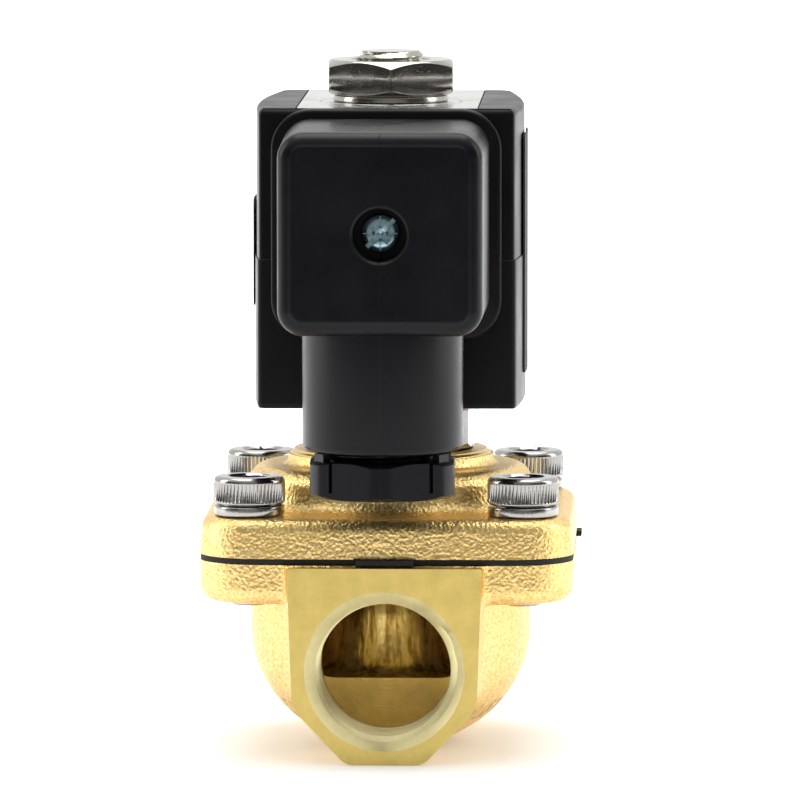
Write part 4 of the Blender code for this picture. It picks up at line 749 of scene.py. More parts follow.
for x, y in screw_axes:
    combine(body, rod("tapping_drill", 3.05 * MM, FLANGE_LOW - 2 * MM, DECK_Z + 2 * MM, 32, (x, y, 0)))
combine(body, rod("pilot_drill", 0.8 * MM, PORT_Z, DECK_Z + 2 * MM, 24, (0, 18 * MM, 0)))
print("body after machining:", len(body.data.polygons), "faces")


# %% Finish each face of the body by where the cutter went
def paint(piece, rule):
    """Gives each face the material slot that the rule names for its middle."""
    for face in piece.data.polygons:
        face.material_index = rule(face.center)


def body_rule(middle):
    from_axis = sqrt(middle.x ** 2 + (middle.z - PORT_Z) ** 2)
    if abs(middle.y) > PORT_Y - 0.02 * MM or middle.z > DECK_Z - 0.02 * MM:
        return 1
    # The port's chamfer and threads take the brass that is painted paler as a highlight.
    if abs(middle.y) > PORT_END + 0.02 * MM and from_axis < PORT_MOUTH_R + 0.01 * MM:
        return 2
    if abs(middle.y) > PORT_END - 0.02 * MM and from_axis < PORT_THREAD_R:
        return 3
    # Faces inside the chamber take the brass that is painted darker as shade.
    inside = sqrt(middle.x ** 2 + middle.y ** 2) < CHAMBER_R + 0.05 * MM and middle.z > 4 * MM
    return 4 if inside else 0


paint(body, body_rule)
smooth(body, 32)
dress(body, "valve", ["valve_body"])

# %% [markdown]
# ## The cover
#
# The cover is the other casting: a flange with drafted sides, a shallow dome over the diaphragm's
# spring, and a collar whose top is machined for the armature tube. Its nozzle stands up in the socket,
# and the plunger's seal closes it.

# %% Cover sizes and field
cover_low, cover_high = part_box("valve_cover")
COVER_LOW = cover_low.z
COVER_TOP = 34.4 * MM
DOME_TOP = 40.0 * MM
COLLAR_TOP = cover_high.z
ROOF = 36.5 * MM
SOCKET = 39.75 * MM
DOME_R = 20.1 * MM
DOME_EDGE = 2.4 * MM
COLLAR_R = 14.7 * MM


def cover_field(x, y, z):
    radius = np.hypot(x, y)
    draft = 0.4 * MM * np.clip((z - COVER_LOW) / (COVER_TOP - COVER_LOW), 0, 1)
    outline = rounded_square(x, y, FLANGE_HALF, FLANGE_CORNER) + draft
    flange = extruded(outline, z, COVER_LOW - 3 * MM, COVER_TOP, 1.7 * MM)
    dome = extruded(radius - DOME_R, z, COVER_LOW - 3 * MM, DOME_TOP, DOME_EDGE)
    collar = extruded(radius - COLLAR_R, z, 30 * MM, COLLAR_TOP + 2 * MM, 0.3 * MM)
    return smooth_min(smooth_min(flange, dome, 2.8 * MM), collar, 0.9 * MM)


points, quads = skin_field(cover_field, (-27 * MM, -27 * MM, COVER_LOW - 3 * MM),
                           (27 * MM, 27 * MM, COLLAR_TOP + 2 * MM), CELL)
cover = mesh_object("cover_casting", points, quads, CAST, TURNED)

# %% Machine the cover
combine(cover, slab("cover_deck_cutter", (-FAR, -FAR, 0), (FAR, FAR, COVER_LOW)))
collar_face = [
    (0, COLLAR_TOP),
    (13.7 * MM, COLLAR_TOP),
    (14.4 * MM, COLLAR_TOP - 0.7 * MM),
    (16 * MM, COLLAR_TOP - 0.7 * MM),
    (16 * MM, COLLAR_TOP + 4 * MM),
    (0, COLLAR_TOP + 4 * MM),
]
combine(cover, lathe("collar_facing", collar_face, 128))
room = [
    (0, COVER_LOW - MM),
    (CHAMBER_R, COVER_LOW - MM),
    (CHAMBER_R, ROOF - 1.5 * MM),
    (CHAMBER_R - 1.5 * MM, ROOF),
    (0, ROOF),
]
combine(cover, lathe("cover_room_drill", room, 112))
socket = [
    (0, SOCKET + 2.1 * MM),
    (1.4 * MM, SOCKET + 2.1 * MM),
    (2.2 * MM, SOCKET),
    (10.15 * MM, SOCKET),
    (10.15 * MM, COLLAR_TOP - 1.6 * MM),
    (11.75 * MM, COLLAR_TOP - 1.6 * MM),
    (11.75 * MM, COLLAR_TOP + 1 * MM),
    (0, COLLAR_TOP + 1 * MM),
]
combine(cover, lathe("socket_drill", socket, 112))
for x, y in screw_axes:
    combine(cover, rod("clearance_drill", 3.3 * MM, COVER_LOW - 2 * MM, COVER_TOP + 2 * MM, 32, (x, y, 0)))
way_z = (ROOF + SOCKET) / 2
combine(cover, rod("orifice_drill", 0.7 * MM, way_z, COLLAR_TOP + 1 * MM, 24))
combine(cover, rod("pilot_way_drill", 0.8 * MM, 0, 18.6 * MM, 24, (0, 0, way_z), TO_REAR))
combine(cover, rod("pilot_drop_drill", 0.8 * MM, COVER_LOW - 1 * MM, way_z, 20, (0, 18 * MM, 0)))
for x in (-5 * MM, 5 * MM):
    combine(cover, rod("transfer_drill", 1 * MM, ROOF - 1 * MM, SOCKET + 1 * MM, 24, (x, 0, 0)))
combine(cover, slab("tab_notch", (-4.3 * MM, -30 * MM, COVER_LOW - 1 * MM),
                    (4.3 * MM, -FLANGE_HALF + 0.5 * MM, COVER_LOW + 0.5 * MM)))


def cover_rule(middle):
    from_axis = sqrt(middle.x ** 2 + middle.y ** 2)
    faced = middle.z > COLLAR_TOP - 0.72 * MM and from_axis < 14.5 * MM
    inside = from_axis < 11.8 * MM and middle.z > SOCKET - 0.01 * MM
    return 1 if faced or inside or middle.z < COVER_LOW + 0.01 * MM else 0


paint(cover, cover_rule)
smooth(cover, 32)
dress(cover, "valve", ["valve_cover"])

# %% [markdown]
# ## Cover screws and spring washers
#
# Each screw is a socket cap screw: straight ridges round the head give fingers a grip, a plain
# rounded rim closes them off, and the shank carries an M6 thread. Ridges repeat, so a node tree
# presses them into a lathed head: points in a band move in by a triangle wave of their angle.


# %% The knurl tree
def knurl_tree():
    """Presses ridges along Z into the part of a round piece between two heights."""
    tree, given, maths = start_tree("knurl", Geometry="Geometry", Ridges="Float", Depth="Float", Low="Float",
                                    High="Float")
    place = node(tree, "GeometryNodeInputPosition").outputs[0]
    split = node(tree, "ShaderNodeSeparateXYZ", {"Vector": place}).outputs
    turn = maths("DIVIDE", maths("ARCTAN2", split["Y"], split["X"]), tau)
    phase = maths("FRACT", maths("MULTIPLY", turn, given["Ridges"]))
    valley = maths("ABSOLUTE", maths("MULTIPLY_ADD", phase, 2.0, -1.0))
    banded = maths("MULTIPLY", maths("GREATER_THAN", split["Z"], given["Low"]),
                   maths("LESS_THAN", split["Z"], given["High"]))
    flat = node(tree, "ShaderNodeCombineXYZ", {"X": split["X"], "Y": split["Y"]}).outputs[0]
    outward = node(tree, "ShaderNodeVectorMath", {0: flat}, operation="NORMALIZE").outputs[0]
    inward = maths("MULTIPLY", maths("MULTIPLY", valley, given["Depth"]), -1.0)
    offset = node(tree, "ShaderNodeVectorMath", {0: outward, "Scale": inward}, operation="SCALE").outputs[0]
    pressed = node(tree, "GeometryNodeSetPosition", {"Geometry": given["Geometry"], "Selection": banded,
                                                     "Offset": offset})
    return end_tree(tree, pressed.outputs[0], given["Finish"])


KNURL = knurl_tree()


# %% Hexagons
def hex_reach(across, angle):
    """How far a hexagon reaches at an angle from the middle of one of its flats."""
    return across / 2 / cos((angle + pi / 6) % (pi / 3) - pi / 6)


def hex_loops(across, low, high, face_r, turn=0.0, corner_r=1.0):
    """A hexagon whose ends are chamfered on a lathe, which leaves an arc on each flat."""
    angles = [turn + tau * i / ROUND for i in range(ROUND)]
    reach = [min(hex_reach(across, a - turn), corner_r) for a in angles]
    drop = [max(r - face_r, 0) * tan(radians(30)) for r in reach]
    inner = [min(r, face_r) for r in reach]

    def ring(radii, heights):
        return [(r * cos(a), r * sin(a), z) for a, r, z in zip(angles, radii, heights)]

    return [ring(inner, [low] * ROUND), ring(reach, [low + d for d in drop]),
            ring(reach, [high - d for d in drop]), ring(inner, [high] * ROUND)]


# %% Cover screws
screw_low, screw_high = screw_boxes[0]
HEAD_LOW = 36.0 * MM
HEAD_TOP = screw_high.z
HEAD_R = (screw_high.x - screw_low.x) / 2
KEY_FLATS = 5 * MM
RIDGES = 54.0
STEPS = 216


def screw_head():
    rows = [(0, HEAD_LOW), (HEAD_R - 0.35 * MM, HEAD_LOW), (HEAD_R - 0.05 * MM, HEAD_LOW + 0.3 * MM),
            (HEAD_R - 0.02 * MM, HEAD_LOW + 0.42 * MM), (HEAD_R, HEAD_LOW + 0.6 * MM),
            (HEAD_R, HEAD_TOP - 1.0 * MM), (HEAD_R - 0.02 * MM, HEAD_TOP - 0.8 * MM)]
    rim = 0.7 * MM
    for i in range(7):
        angle = radians(15 * i)
        rows.append((HEAD_R - 0.03 * MM - rim + rim * cos(angle), HEAD_TOP - rim + rim * sin(angle)))
    loops = [circle(radius, z, STEPS) for radius, z in rows]
    loops.append(circle(3.1 * MM, HEAD_TOP, STEPS))
    loops.append(circle(2.95 * MM, HEAD_TOP - 0.12 * MM, STEPS))
    for z in (HEAD_TOP - 0.3 * MM, HEAD_TOP - 2 * MM):
        loops.append([(hex_reach(KEY_FLATS, a) * cos(a), hex_reach(KEY_FLATS, a) * sin(a), z)
                      for a in (tau * i / STEPS for i in range(STEPS))])
    loops.append([(0, 0, HEAD_TOP - 2.5 * MM)])
    head = skin("cover_screw", loops, SCREW_STEEL)
    grow(head, KNURL, Ridges=RIDGES, Depth=0.2 * MM, Low=HEAD_LOW + 0.5 * MM, High=HEAD_TOP - 0.9 * MM,
         Finish=SCREW_STEEL)
    return head


def cover_screw(number, x, y, turn):
    shank = grow("shank", THREAD, Radius=2.9 * MM, Depth=0.5 * MM, Pitch=1.0 * MM, Length=14.3 * MM,
                 Runout=0.7 * MM, Around=32, Along=90, Finish=SCREW_STEEL)
    moved(shank, shift=(0, 0, screw_low.z))
    made = smooth(join(screw_head(), shank), 30)
    made.name = f"cover_screw_{number}_piece"
    moved(made, (0, 0, turn), (x, y, 0))
    return dress(made, "valve", [f"cover_screw_{number}"])


for number, ((x, y), turn) in enumerate(zip(screw_axes, (14, 41, 5, 27)), 1):
    cover_screw(number, x, y, turn)


# %% Split spring washers
def spring_washer(number, x, y):
    """A square ring, cut through and slightly twisted, with rounded corners."""
    low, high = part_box(f"spring_washer_{number}")
    thick = 1.34 * MM
    rise = high.z - low.z - thick
    round_r = 0.22 * MM
    split = radians(12)
    inner, outer = 3.1 * MM + round_r, 4.95 * MM - round_r
    section = []
    for cx, cz, start in ((outer, thick - round_r, 0), (inner, thick - round_r, 90),
                          (inner, round_r, 180), (outer, round_r, 270)):
        for i in range(4):
            angle = radians(start + 30 * i)
            section.append((cx + round_r * cos(angle), cz + round_r * sin(angle)))
    loops = []
    steps = 72
    for i in range(steps + 1):
        angle = split / 2 + (tau - split) * i / steps
        loops.append([(r * cos(angle), r * sin(angle), low.z + rise * i / steps + z) for r, z in section])
    made = skin(f"spring_washer_{number}_piece", loops, SCREW_STEEL)
    moved(made, (0, 0, 63 * number), (x, y, 0))
    return dress(made, "valve", [f"spring_washer_{number}"])


for number, (x, y) in enumerate(screw_axes, 1):
    spring_washer(number, x, y)

# %% [markdown]
# ## The diaphragm
#
# A sheet of rubber clamped between the castings. Its rim shows as a thin dark line with a tab at the
# front and one on the right. Inside the chamber it steps down in a soft roll, which lets the middle
# rise; the roll is dense enough to bend when the middle moves.

# %% Diaphragm outline and skin
rim_low, rim_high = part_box("diaphragm")
THICK = 0.75 * MM
RIM_TOP = rim_high.z
MIDDLE_TOP = 26.2 * MM
ROLL_START = 10.9
ROLL_WIDTH = 5.2


def diaphragm_outline():
    """Points round the rim, anticlockwise from the right, with both tabs."""
    half = FLANGE_HALF - 0.1 * MM
    corner = FLANGE_CORNER
    side_tab = [(half, 12.25 * MM), (rim_high.x, 12.35 * MM), (rim_high.x, 16.65 * MM), (half, 16.75 * MM)]
    front_tab = [(-4.15 * MM, -half), (-4.1 * MM, rim_low.y), (4.1 * MM, rim_low.y), (4.15 * MM, -half)]
    points = [(half, y * MM) for y in range(0, 12, 2)] + side_tab
    for cx, cy, start in ((1, 1, 0), (-1, 1, 90), (-1, -1, 180)):
        points += [((half - corner) * cx + corner * cos(radians(start + 7.5 * i)),
                    (half - corner) * cy + corner * sin(radians(start + 7.5 * i))) for i in range(13)]
    points += [(x * MM, -half) for x in range(-15, -4, 2)] + front_tab
    points += [(x * MM, -half) for x in range(5, 17, 2)]
    points += [(half - corner + corner * cos(radians(270 + 7.5 * i)),
                -half + corner + corner * sin(radians(270 + 7.5 * i))) for i in range(13)]
    return points + [(half, y * MM) for y in range(-15, 0, 2)]


def roll(share):
    """Height of the sheet's top between the flat middle (0) and the rim (1)."""
    ease = share * share * (3 - 2 * share)
    return MIDDLE_TOP + (RIM_TOP - MIDDLE_TOP) * ease


rim = diaphragm_outline()
ways = [Vector(p).normalized() for p in rim]
reaches = [2.15 * MM, 5 * MM, 8.5 * MM]
reaches += [(ROLL_START + ROLL_WIDTH * i / 12) * MM for i in range(13)] + [17.5 * MM]
shares = [min(max((r / MM - ROLL_START) / ROLL_WIDTH, 0), 1) for r in reaches]
top = [[(w.x * r, w.y * r, roll(share)) for w in ways] for r, share in zip(reaches, shares)]
top.append([(x * 0.998, y * 0.998, RIM_TOP) for x, y in rim])
top.append([(x, y, RIM_TOP - 0.06 * MM) for x, y in rim])
bottom = [[(x, y, z - THICK) for x, y, z in loop] for loop in top[:-1]]
bottom.append([(x, y, RIM_TOP - THICK + 0.06 * MM) for x, y in rim])
diaphragm = skin("diaphragm_piece", top + bottom[::-1], RUBBER, ring=True)
for x, y in screw_axes:
    combine(diaphragm, rod("rim_drill", 3.3 * MM, 20 * MM, 35 * MM, 32, (x, y, 0)))
combine(diaphragm, rod("bleed_drill", 0.5 * MM, 20 * MM, 35 * MM, 16, (0, -13 * MM, 0)))
combine(diaphragm, rod("pilot_rim_drill", 1 * MM, 20 * MM, 35 * MM, 20, (0, 18 * MM, 0)))
smooth(diaphragm, 40)
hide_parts("diaphragm")
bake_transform(diaphragm)

# %% [markdown]
# ## Springs
#
# Both springs are round wire on a helix, a rule again: a spiral curve gives the path and a circle the
# wire. Each rests on a fixed face above and a moving face below.


# %% The helix tree
def helix_tree():
    """Round wire on a helix that rises along Z from 0 to Height."""
    tree, given, _ = start_tree("helix", Radius="Float", Wire="Float", Height="Float", Turns="Float")
    path = node(tree, "GeometryNodeCurveSpiral", {
        "Resolution": 40, "Rotations": given["Turns"], "Start Radius": given["Radius"],
        "End Radius": given["Radius"], "Height": given["Height"], "Reverse": False,
    })
    wire = node(tree, "GeometryNodeCurvePrimitiveCircle", {"Resolution": 14, "Radius": given["Wire"]})
    tube = node(tree, "GeometryNodeCurveToMesh", {"Curve": path.outputs[0], "Profile Curve": wire.outputs[0],
                                                  "Fill Caps": True})
    return end_tree(tree, tube.outputs[0], given["Finish"])


HELIX = helix_tree()


def spring(name, radius, wire, turns):
    low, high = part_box(name)
    inset = wire + 0.02 * MM
    made = grow(f"{name}_piece", HELIX, Radius=radius, Wire=wire, Turns=float(turns),
                Height=high.z - low.z - 2 * inset, Finish=WIRE_STEEL)
    smooth(moved(made, shift=(0, 0, low.z + inset)), 60)
    face_out(made)
    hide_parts(name)
    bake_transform(made)
    print(f"{name}: {turns} turns, {(high.z - low.z) / MM:.1f} mm")


spring("diaphragm_spring", 6.5 * MM, 0.44 * MM, 4)
spring("plunger_spring", 2.3 * MM, 0.25 * MM, 7)

# %% [markdown]
# ## Armature tube, core and nut
#
# The tube screws into the cover with a milled hexagon; its corners are chamfered on a lathe, which
# leaves an arc on every flat. The core's stud stands out of the coil and takes the nut.

# %% Armature tube
tube_low, tube_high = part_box("armature_tube")
HEX_LOW = COLLAR_TOP + 0.05 * MM
HEX_TOP = HEX_LOW + 7 * MM
loops = [circle(6.5 * MM, tube_low.z), circle(10 * MM, tube_low.z), circle(10 * MM, HEX_LOW)]
loops += hex_loops(23.6 * MM, HEX_LOW, HEX_TOP, 11.5 * MM, turn=radians(-4.5))
loops += [circle(r * MM, z) for r, z in (
    (7, HEX_TOP), (7, tube_high.z - 0.6 * MM), (6.82, tube_high.z - 0.18 * MM), (6.4, tube_high.z),
    (5.15, tube_high.z), (5.15, tube_high.z - 0.9 * MM), (6.5, tube_high.z - 0.9 * MM))]
tube = skin("armature_tube_piece", loops, HEX_STEEL, ring=True, sharp=28)
dress(tube, "valve", ["armature_tube"])

# %% Fixed core with its stud
core_low, core_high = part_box("fixed_core")
core_top = 90.55 * MM
core = lathe("fixed_core_piece", [
    (0, core_low.z), (4.2 * MM, core_low.z), (4.2 * MM, core_low.z + 1.15 * MM),
    (5.3 * MM, core_low.z + 1.15 * MM), (5.3 * MM, core_low.z), (6.25 * MM, core_low.z),
    (6.35 * MM, core_low.z + 0.1 * MM), (6.35 * MM, core_top), (0, core_top)], 96, HEX_STEEL)
stud = grow("stud", THREAD, Radius=5 * MM, Depth=0.95 * MM, Pitch=1.25 * MM,
            Length=core_high.z - core_top + 0.2 * MM, Runout=0.95 * MM, Around=72, Along=110, Finish=NICKEL)
core = smooth(join(core, moved(stud, shift=(0, 0, core_top - 0.2 * MM))), 30)
dress(core, "valve", ["fixed_core"])

# %% Washer and nut
washer_low, washer_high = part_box("top_washer")
washer = lathe("top_washer_piece", [
    (5.15 * MM, washer_low.z), (8.05 * MM, washer_low.z), (8.2 * MM, washer_low.z + 0.15 * MM),
    (8.2 * MM, washer_high.z - 0.25 * MM), (8.1 * MM, washer_high.z - 0.08 * MM), (7.9 * MM, washer_high.z),
    (5.3 * MM, washer_high.z), (5.15 * MM, washer_high.z - 0.15 * MM)], 144, NICKEL)
dress(washer, "valve", ["top_washer"])

nut_low, nut_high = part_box("coil_nut")
NUT_FLATS = 17.7 * MM
NUT_FACE_R = 8.5 * MM
loops = [circle(6.55 * MM, nut_low.z)]
loops += hex_loops(NUT_FLATS, nut_low.z, nut_high.z, NUT_FACE_R)
loops += [circle(r * MM, z) for r, z in (
    (5.7, nut_high.z), (5.15, nut_high.z - 0.55 * MM), (5.15, nut_low.z + 1.3 * MM),
    (6.55, nut_low.z + 1.3 * MM))]
nut = skin("coil_nut_piece", loops, NICKEL, ring=True, sharp=20)
moved(nut, (0, 0, 2))
soften(nut, 0.12 * MM, 2, 20)
dress(nut, "coil_nut", ["coil_nut"])

# %% [markdown]
# ## The coil
#
# The casing is moulded in two halves that meet a little below mid height, where the lower one stands
# out by a hair. Its sides bulge, its rear corners are rounder, and the mould has left a ragged edge
# round the foot. A steel strap runs through it from top to bottom to carry the magnetic field.

# %% Casing outline and loops
coil_low, coil_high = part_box("coil_housing")
COIL_FRONT = -18 * MM
COIL_REAR = 27 * MM
FRONT_HALF = 18.2 * MM
REAR_HALF = 17.4 * MM
BULGE = 1.4 * MM
FRONT_CORNER = 0.8 * MM
REAR_CORNER = 3 * MM
PARTING = coil_low.z + 21.1 * MM


def arc_points(cx, cy, radius, start, end, steps):
    angles = [radians(start + (end - start) * i / steps) for i in range(steps + 1)]
    return [(cx + radius * cos(a), cy + radius * sin(a)) for a in angles]


def coil_outline(inset):
    """Plan of the casing: flat front and rear, shallow bulged sides, rounded rear corners."""
    front = arc_points(FRONT_HALF - FRONT_CORNER, COIL_FRONT + FRONT_CORNER,
                       max(FRONT_CORNER - inset, 0.05 * MM), 270, 345, 5)
    side = []
    for i in range(1, 24):
        share = i / 24
        y = COIL_FRONT + (COIL_REAR - REAR_CORNER - COIL_FRONT) * share
        half = FRONT_HALF + (REAR_HALF - FRONT_HALF) * share
        side.append((half + BULGE * sin(pi * share) - inset, y))
    rear = arc_points(REAR_HALF - REAR_CORNER, COIL_REAR - REAR_CORNER, REAR_CORNER - inset, 12, 90, 10)
    right = front + side + rear
    return right + [(-x, y) for x, y in reversed(right)]


ragged = np.random.default_rng(7).uniform(-1, 1, len(coil_outline(0)))
foot = [(x * (1 - 0.006 + 0.004 * r), y * (1 - 0.006 + 0.004 * r), coil_low.z + 0.12 * MM * (1 + r))
        for (x, y), r in zip(coil_outline(0.05 * MM), ragged)]
levels = [(coil_low.z + 0.5 * MM, 0.02 * MM), (coil_low.z + 0.8 * MM, 0.0), (PARTING - 0.08 * MM, 0.0),
          (PARTING, 0.08 * MM), (PARTING + 0.02 * MM, 0.2 * MM)]
levels += [(coil_high.z - 1 * MM + 1 * MM * sin(radians(a)), 0.2 * MM + 1 * MM * (1 - cos(radians(a))))
           for a in range(0, 91, 15)]
loops = [foot] + [[(x, y, z) for x, y in coil_outline(inset)] for z, inset in levels]
coil = skin("coil_casing", loops, COIL_RESIN)


# %% Platform for the connector, slot for the strap, room for the winding
def rounded_rectangle(width, height, corner, inset=0.0):
    points = []
    for right, up, start in ((1, 1, 0), (-1, 1, 90), (-1, -1, 180), (1, -1, 270)):
        points += arc_points(right * (width / 2 - corner), up * (height / 2 - corner), corner - inset,
                             start, start + 90, 10)
    return points


def facing_block(name, width, height, corner, levels, centre_z, finish=None):
    """A rounded block that grows towards the front; levels are (distance from the axis, inset)."""
    loops = [[(x, y, depth) for x, y in rounded_rectangle(width, height, corner, inset=inset)]
             for depth, inset in levels]
    return moved(skin(name, loops, finish), TO_FRONT, (0, 0, centre_z))


PLATFORM = 32.4 * MM
platform_z = coil_high.z - PLATFORM / 2
pad = facing_block("platform", PLATFORM, PLATFORM, 5.5 * MM, [
    (17.6 * MM, 0), (19.7 * MM, 0), (19.95 * MM, 0.08 * MM), (20.12 * MM, 0.25 * MM), (20.2 * MM, 0.5 * MM)],
    platform_z, COIL_RESIN)
combine(coil, pad, "UNION")
combine(coil, slab("strap_slot", (-12.9 * MM, -17.15 * MM, coil_low.z - 2 * MM),
                   (12.9 * MM, COIL_REAR - 0.85 * MM, coil_high.z + 2 * MM)))
combine(coil, rod("winding_room", 15.35 * MM, 50.9 * MM, 90.05 * MM, 96))
SCREW_Z = platform_z + 0.5 * MM
EARTH_Z = 67.0 * MM
for low, high in (((-9.55, -22, SCREW_Z / MM - 3.3), (-8.45, -18.35, SCREW_Z / MM + 3.3)),
                  ((8.45, -22, SCREW_Z / MM - 3.3), (9.55, -18.35, SCREW_Z / MM + 3.3)),
                  ((-3.3, -22, EARTH_Z / MM - 0.55), (3.3, -18.35, EARTH_Z / MM + 0.55))):
    combine(coil, slab("blade_slot", [v * MM for v in low], [v * MM for v in high]))
combine(coil, rod("insert_hole", 2.45 * MM, 17.5 * MM, 22 * MM, 40, (0, 0, SCREW_Z), TO_FRONT))
smooth(coil, 30)
dress(coil, "coil", ["coil_housing"])

# %% The steel strap, in two halves that meet over the tube, and the sleeves in its holes
STRAP_THICK = 1.6 * MM
TUBE_CLEAR_R = 7.15 * MM
SLEEVE_R = 10 * MM
for name, side in (("yoke_front", -1), ("yoke_rear", 1)):
    low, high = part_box(name)
    seam, web = (high.y, low.y) if side < 0 else (low.y, high.y)
    inner = web - side * STRAP_THICK
    under, over = high.z - STRAP_THICK, low.z + STRAP_THICK
    section = [(seam, low.z), (web, low.z), (web, high.z), (seam, high.z),
               (seam, under), (inner, under), (inner, over), (seam, over)]
    strap = skin(f"{name}_piece", [[(x, y, z) for y, z in section] for x in (low.x, high.x)], PLATE_STEEL)
    combine(strap, rod("sleeve_hole", SLEEVE_R + 0.15 * MM, low.z - 1 * MM, high.z + 1 * MM, 128))
    soften(strap, 0.14 * MM, 2, 30)
    dress(strap, "coil", [name])

for name in ("flux_sleeve_top", "flux_sleeve_bottom"):
    low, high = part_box(name)
    edge = 0.25 * MM
    sleeve = lathe(f"{name}_piece", [
        (TUBE_CLEAR_R, low.z + edge), (TUBE_CLEAR_R + edge, low.z),
        (SLEEVE_R - edge, low.z), (SLEEVE_R, low.z + edge),
        (SLEEVE_R, high.z - edge), (SLEEVE_R - edge, high.z),
        (TUBE_CLEAR_R + edge, high.z), (TUBE_CLEAR_R, high.z - edge)], 128, PLATE_STEEL)
    dress(sleeve, "coil", [name])

# %% [markdown]
# ## Labels
#
# A tall film on the right and a short one on the left follow the casing's curve. They are left blank.


# %% Curved labels with rounded corners
def label(name, side):
    low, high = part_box(name)
    casing = [(x + 0.04 * MM, y) for x, y in coil_outline(0)
              if x > 0 and low.y - 2 * MM < y < high.y + 2 * MM]
    wall = [(side * x, y) for x, y in casing] + [(side * (x + 0.24 * MM), y) for x, y in reversed(casing)]
    film = skin(f"{name}_piece", [[(x, y, z) for x, y in wall] for z in (low.z - MM, high.z + MM)], LABEL)
    outline = rounded_rectangle(high.y - low.y, high.z - low.z, 1.2 * MM)
    window = skin("label_window", [[(x, y, depth) for x, y in outline] for depth in (0.0, 30 * MM)])
    window.data.transform(Matrix(((0, 0, side, 0), (1, 0, 0, (low.y + high.y) / 2),
                                  (0, 1, 0, (low.z + high.z) / 2), (0, 0, 0, 1))))
    face_out(window)
    combine(film, window, "INTERSECT")
    smooth(film, 30)
    return dress(film, "coil", [name])


label("rating_label", 1)
label("side_label", -1)

# %% [markdown]
# ## The connector
#
# A square plug with a soft rim: its sides draw in, a round edge turns to the front, and the front face
# stands a hair proud of that edge, which catches a fine line of light. A barrel with a threaded neck
# hangs from it for the cable.

# %% Connector housing
hood_low, hood_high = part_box("connector_housing")
WIDTH = 29.1 * MM
HEIGHT = 28.9 * MM
FACE = -hood_low.y
BACK = -hood_high.y
GLAND_Y = -33.5 * MM
BARREL_LOW = 45.25 * MM
BARREL_R = 11.15 * MM
HOOD_WALLS = 3.2 * MM
RECESS_R = 3.75 * MM
edge_r = 2.0 * MM
levels = [(BACK, 0.15 * MM), (BACK + 0.15 * MM, 0.0), (FACE - edge_r - 0.2 * MM, 0.35 * MM)]
for angle in range(10, 81, 10):
    levels.append((FACE - 0.2 * MM - edge_r + edge_r * sin(radians(angle)),
                   0.35 * MM + edge_r * (1 - cos(radians(angle)))))
levels += [(FACE - 0.1 * MM, 2.15 * MM), (FACE - 0.02 * MM, 2.3 * MM), (FACE, 2.6 * MM)]
hood = facing_block("connector_hood", WIDTH, HEIGHT, 4 * MM, levels, SCREW_Z, CONNECTOR_NYLON)
barrel = [(0, 64.1 * MM), (BARREL_R + 0.1 * MM, 64.1 * MM), (BARREL_R, BARREL_LOW + 0.8 * MM)]
barrel += [(BARREL_R - 0.8 * MM * (1 - cos(radians(a))), BARREL_LOW + 0.8 * MM * (1 - sin(radians(a))))
           for a in (30, 60, 90)]
barrel += [(8.0 * MM, BARREL_LOW), (0, BARREL_LOW)]
combine(hood, moved(lathe("barrel", barrel, 144), shift=(0, GLAND_Y, 0)), "UNION")
neck = grow("neck", THREAD, Radius=8.5 * MM, Depth=0.7 * MM, Pitch=1.5 * MM, Length=5.6 * MM, Runout=0.6 * MM,
            Around=96, Along=60, Finish=CONNECTOR_NYLON)
combine(hood, moved(neck, shift=(0, GLAND_Y, hood_low.z)), "UNION")
room = facing_block("hood_room", WIDTH - HOOD_WALLS, HEIGHT - HOOD_WALLS, 3.2 * MM,
                    [(BACK - 1 * MM, 0), (FACE - 2.4 * MM, 0)], SCREW_Z)
combine(hood, room)
combine(hood, rod("cable_drill", 7 * MM, hood_low.z - 1 * MM, 66 * MM, 72, (0, GLAND_Y, 0)))
combine(hood, rod("boss", 5.35 * MM, 39.5 * MM, FACE - 1.2 * MM, 72, (0, 0, SCREW_Z), TO_FRONT), "UNION")
recess = [(0, 41.1 * MM), (RECESS_R, 41.1 * MM), (RECESS_R, FACE - 0.3 * MM), (4.1 * MM, FACE),
          (4.1 * MM, FACE + 1 * MM), (0, FACE + 1 * MM)]
combine(hood, moved(lathe("recess_drill", recess, 96), TO_FRONT, (0, 0, SCREW_Z)))
combine(hood, rod("screw_drill", 1.55 * MM, 38 * MM, 42 * MM, 40, (0, 0, SCREW_Z), TO_FRONT))
smooth(hood, 30)
dress(hood, "coil", ["connector_housing"])


# %% Connector screw: a domed head with a cross, a slot and four fine ticks
def across_slot(width, length, depth, angle):
    """A slot cutter across the screw's head, turned by an angle in the face's plane."""
    low = (-length / 2, -width / 2, top - depth)
    cutter = slab("slot", low, (length / 2, width / 2, top + 2 * MM))
    moved(cutter, (0, 0, angle))
    return moved(cutter, TO_FRONT, (0, 0, SCREW_Z))


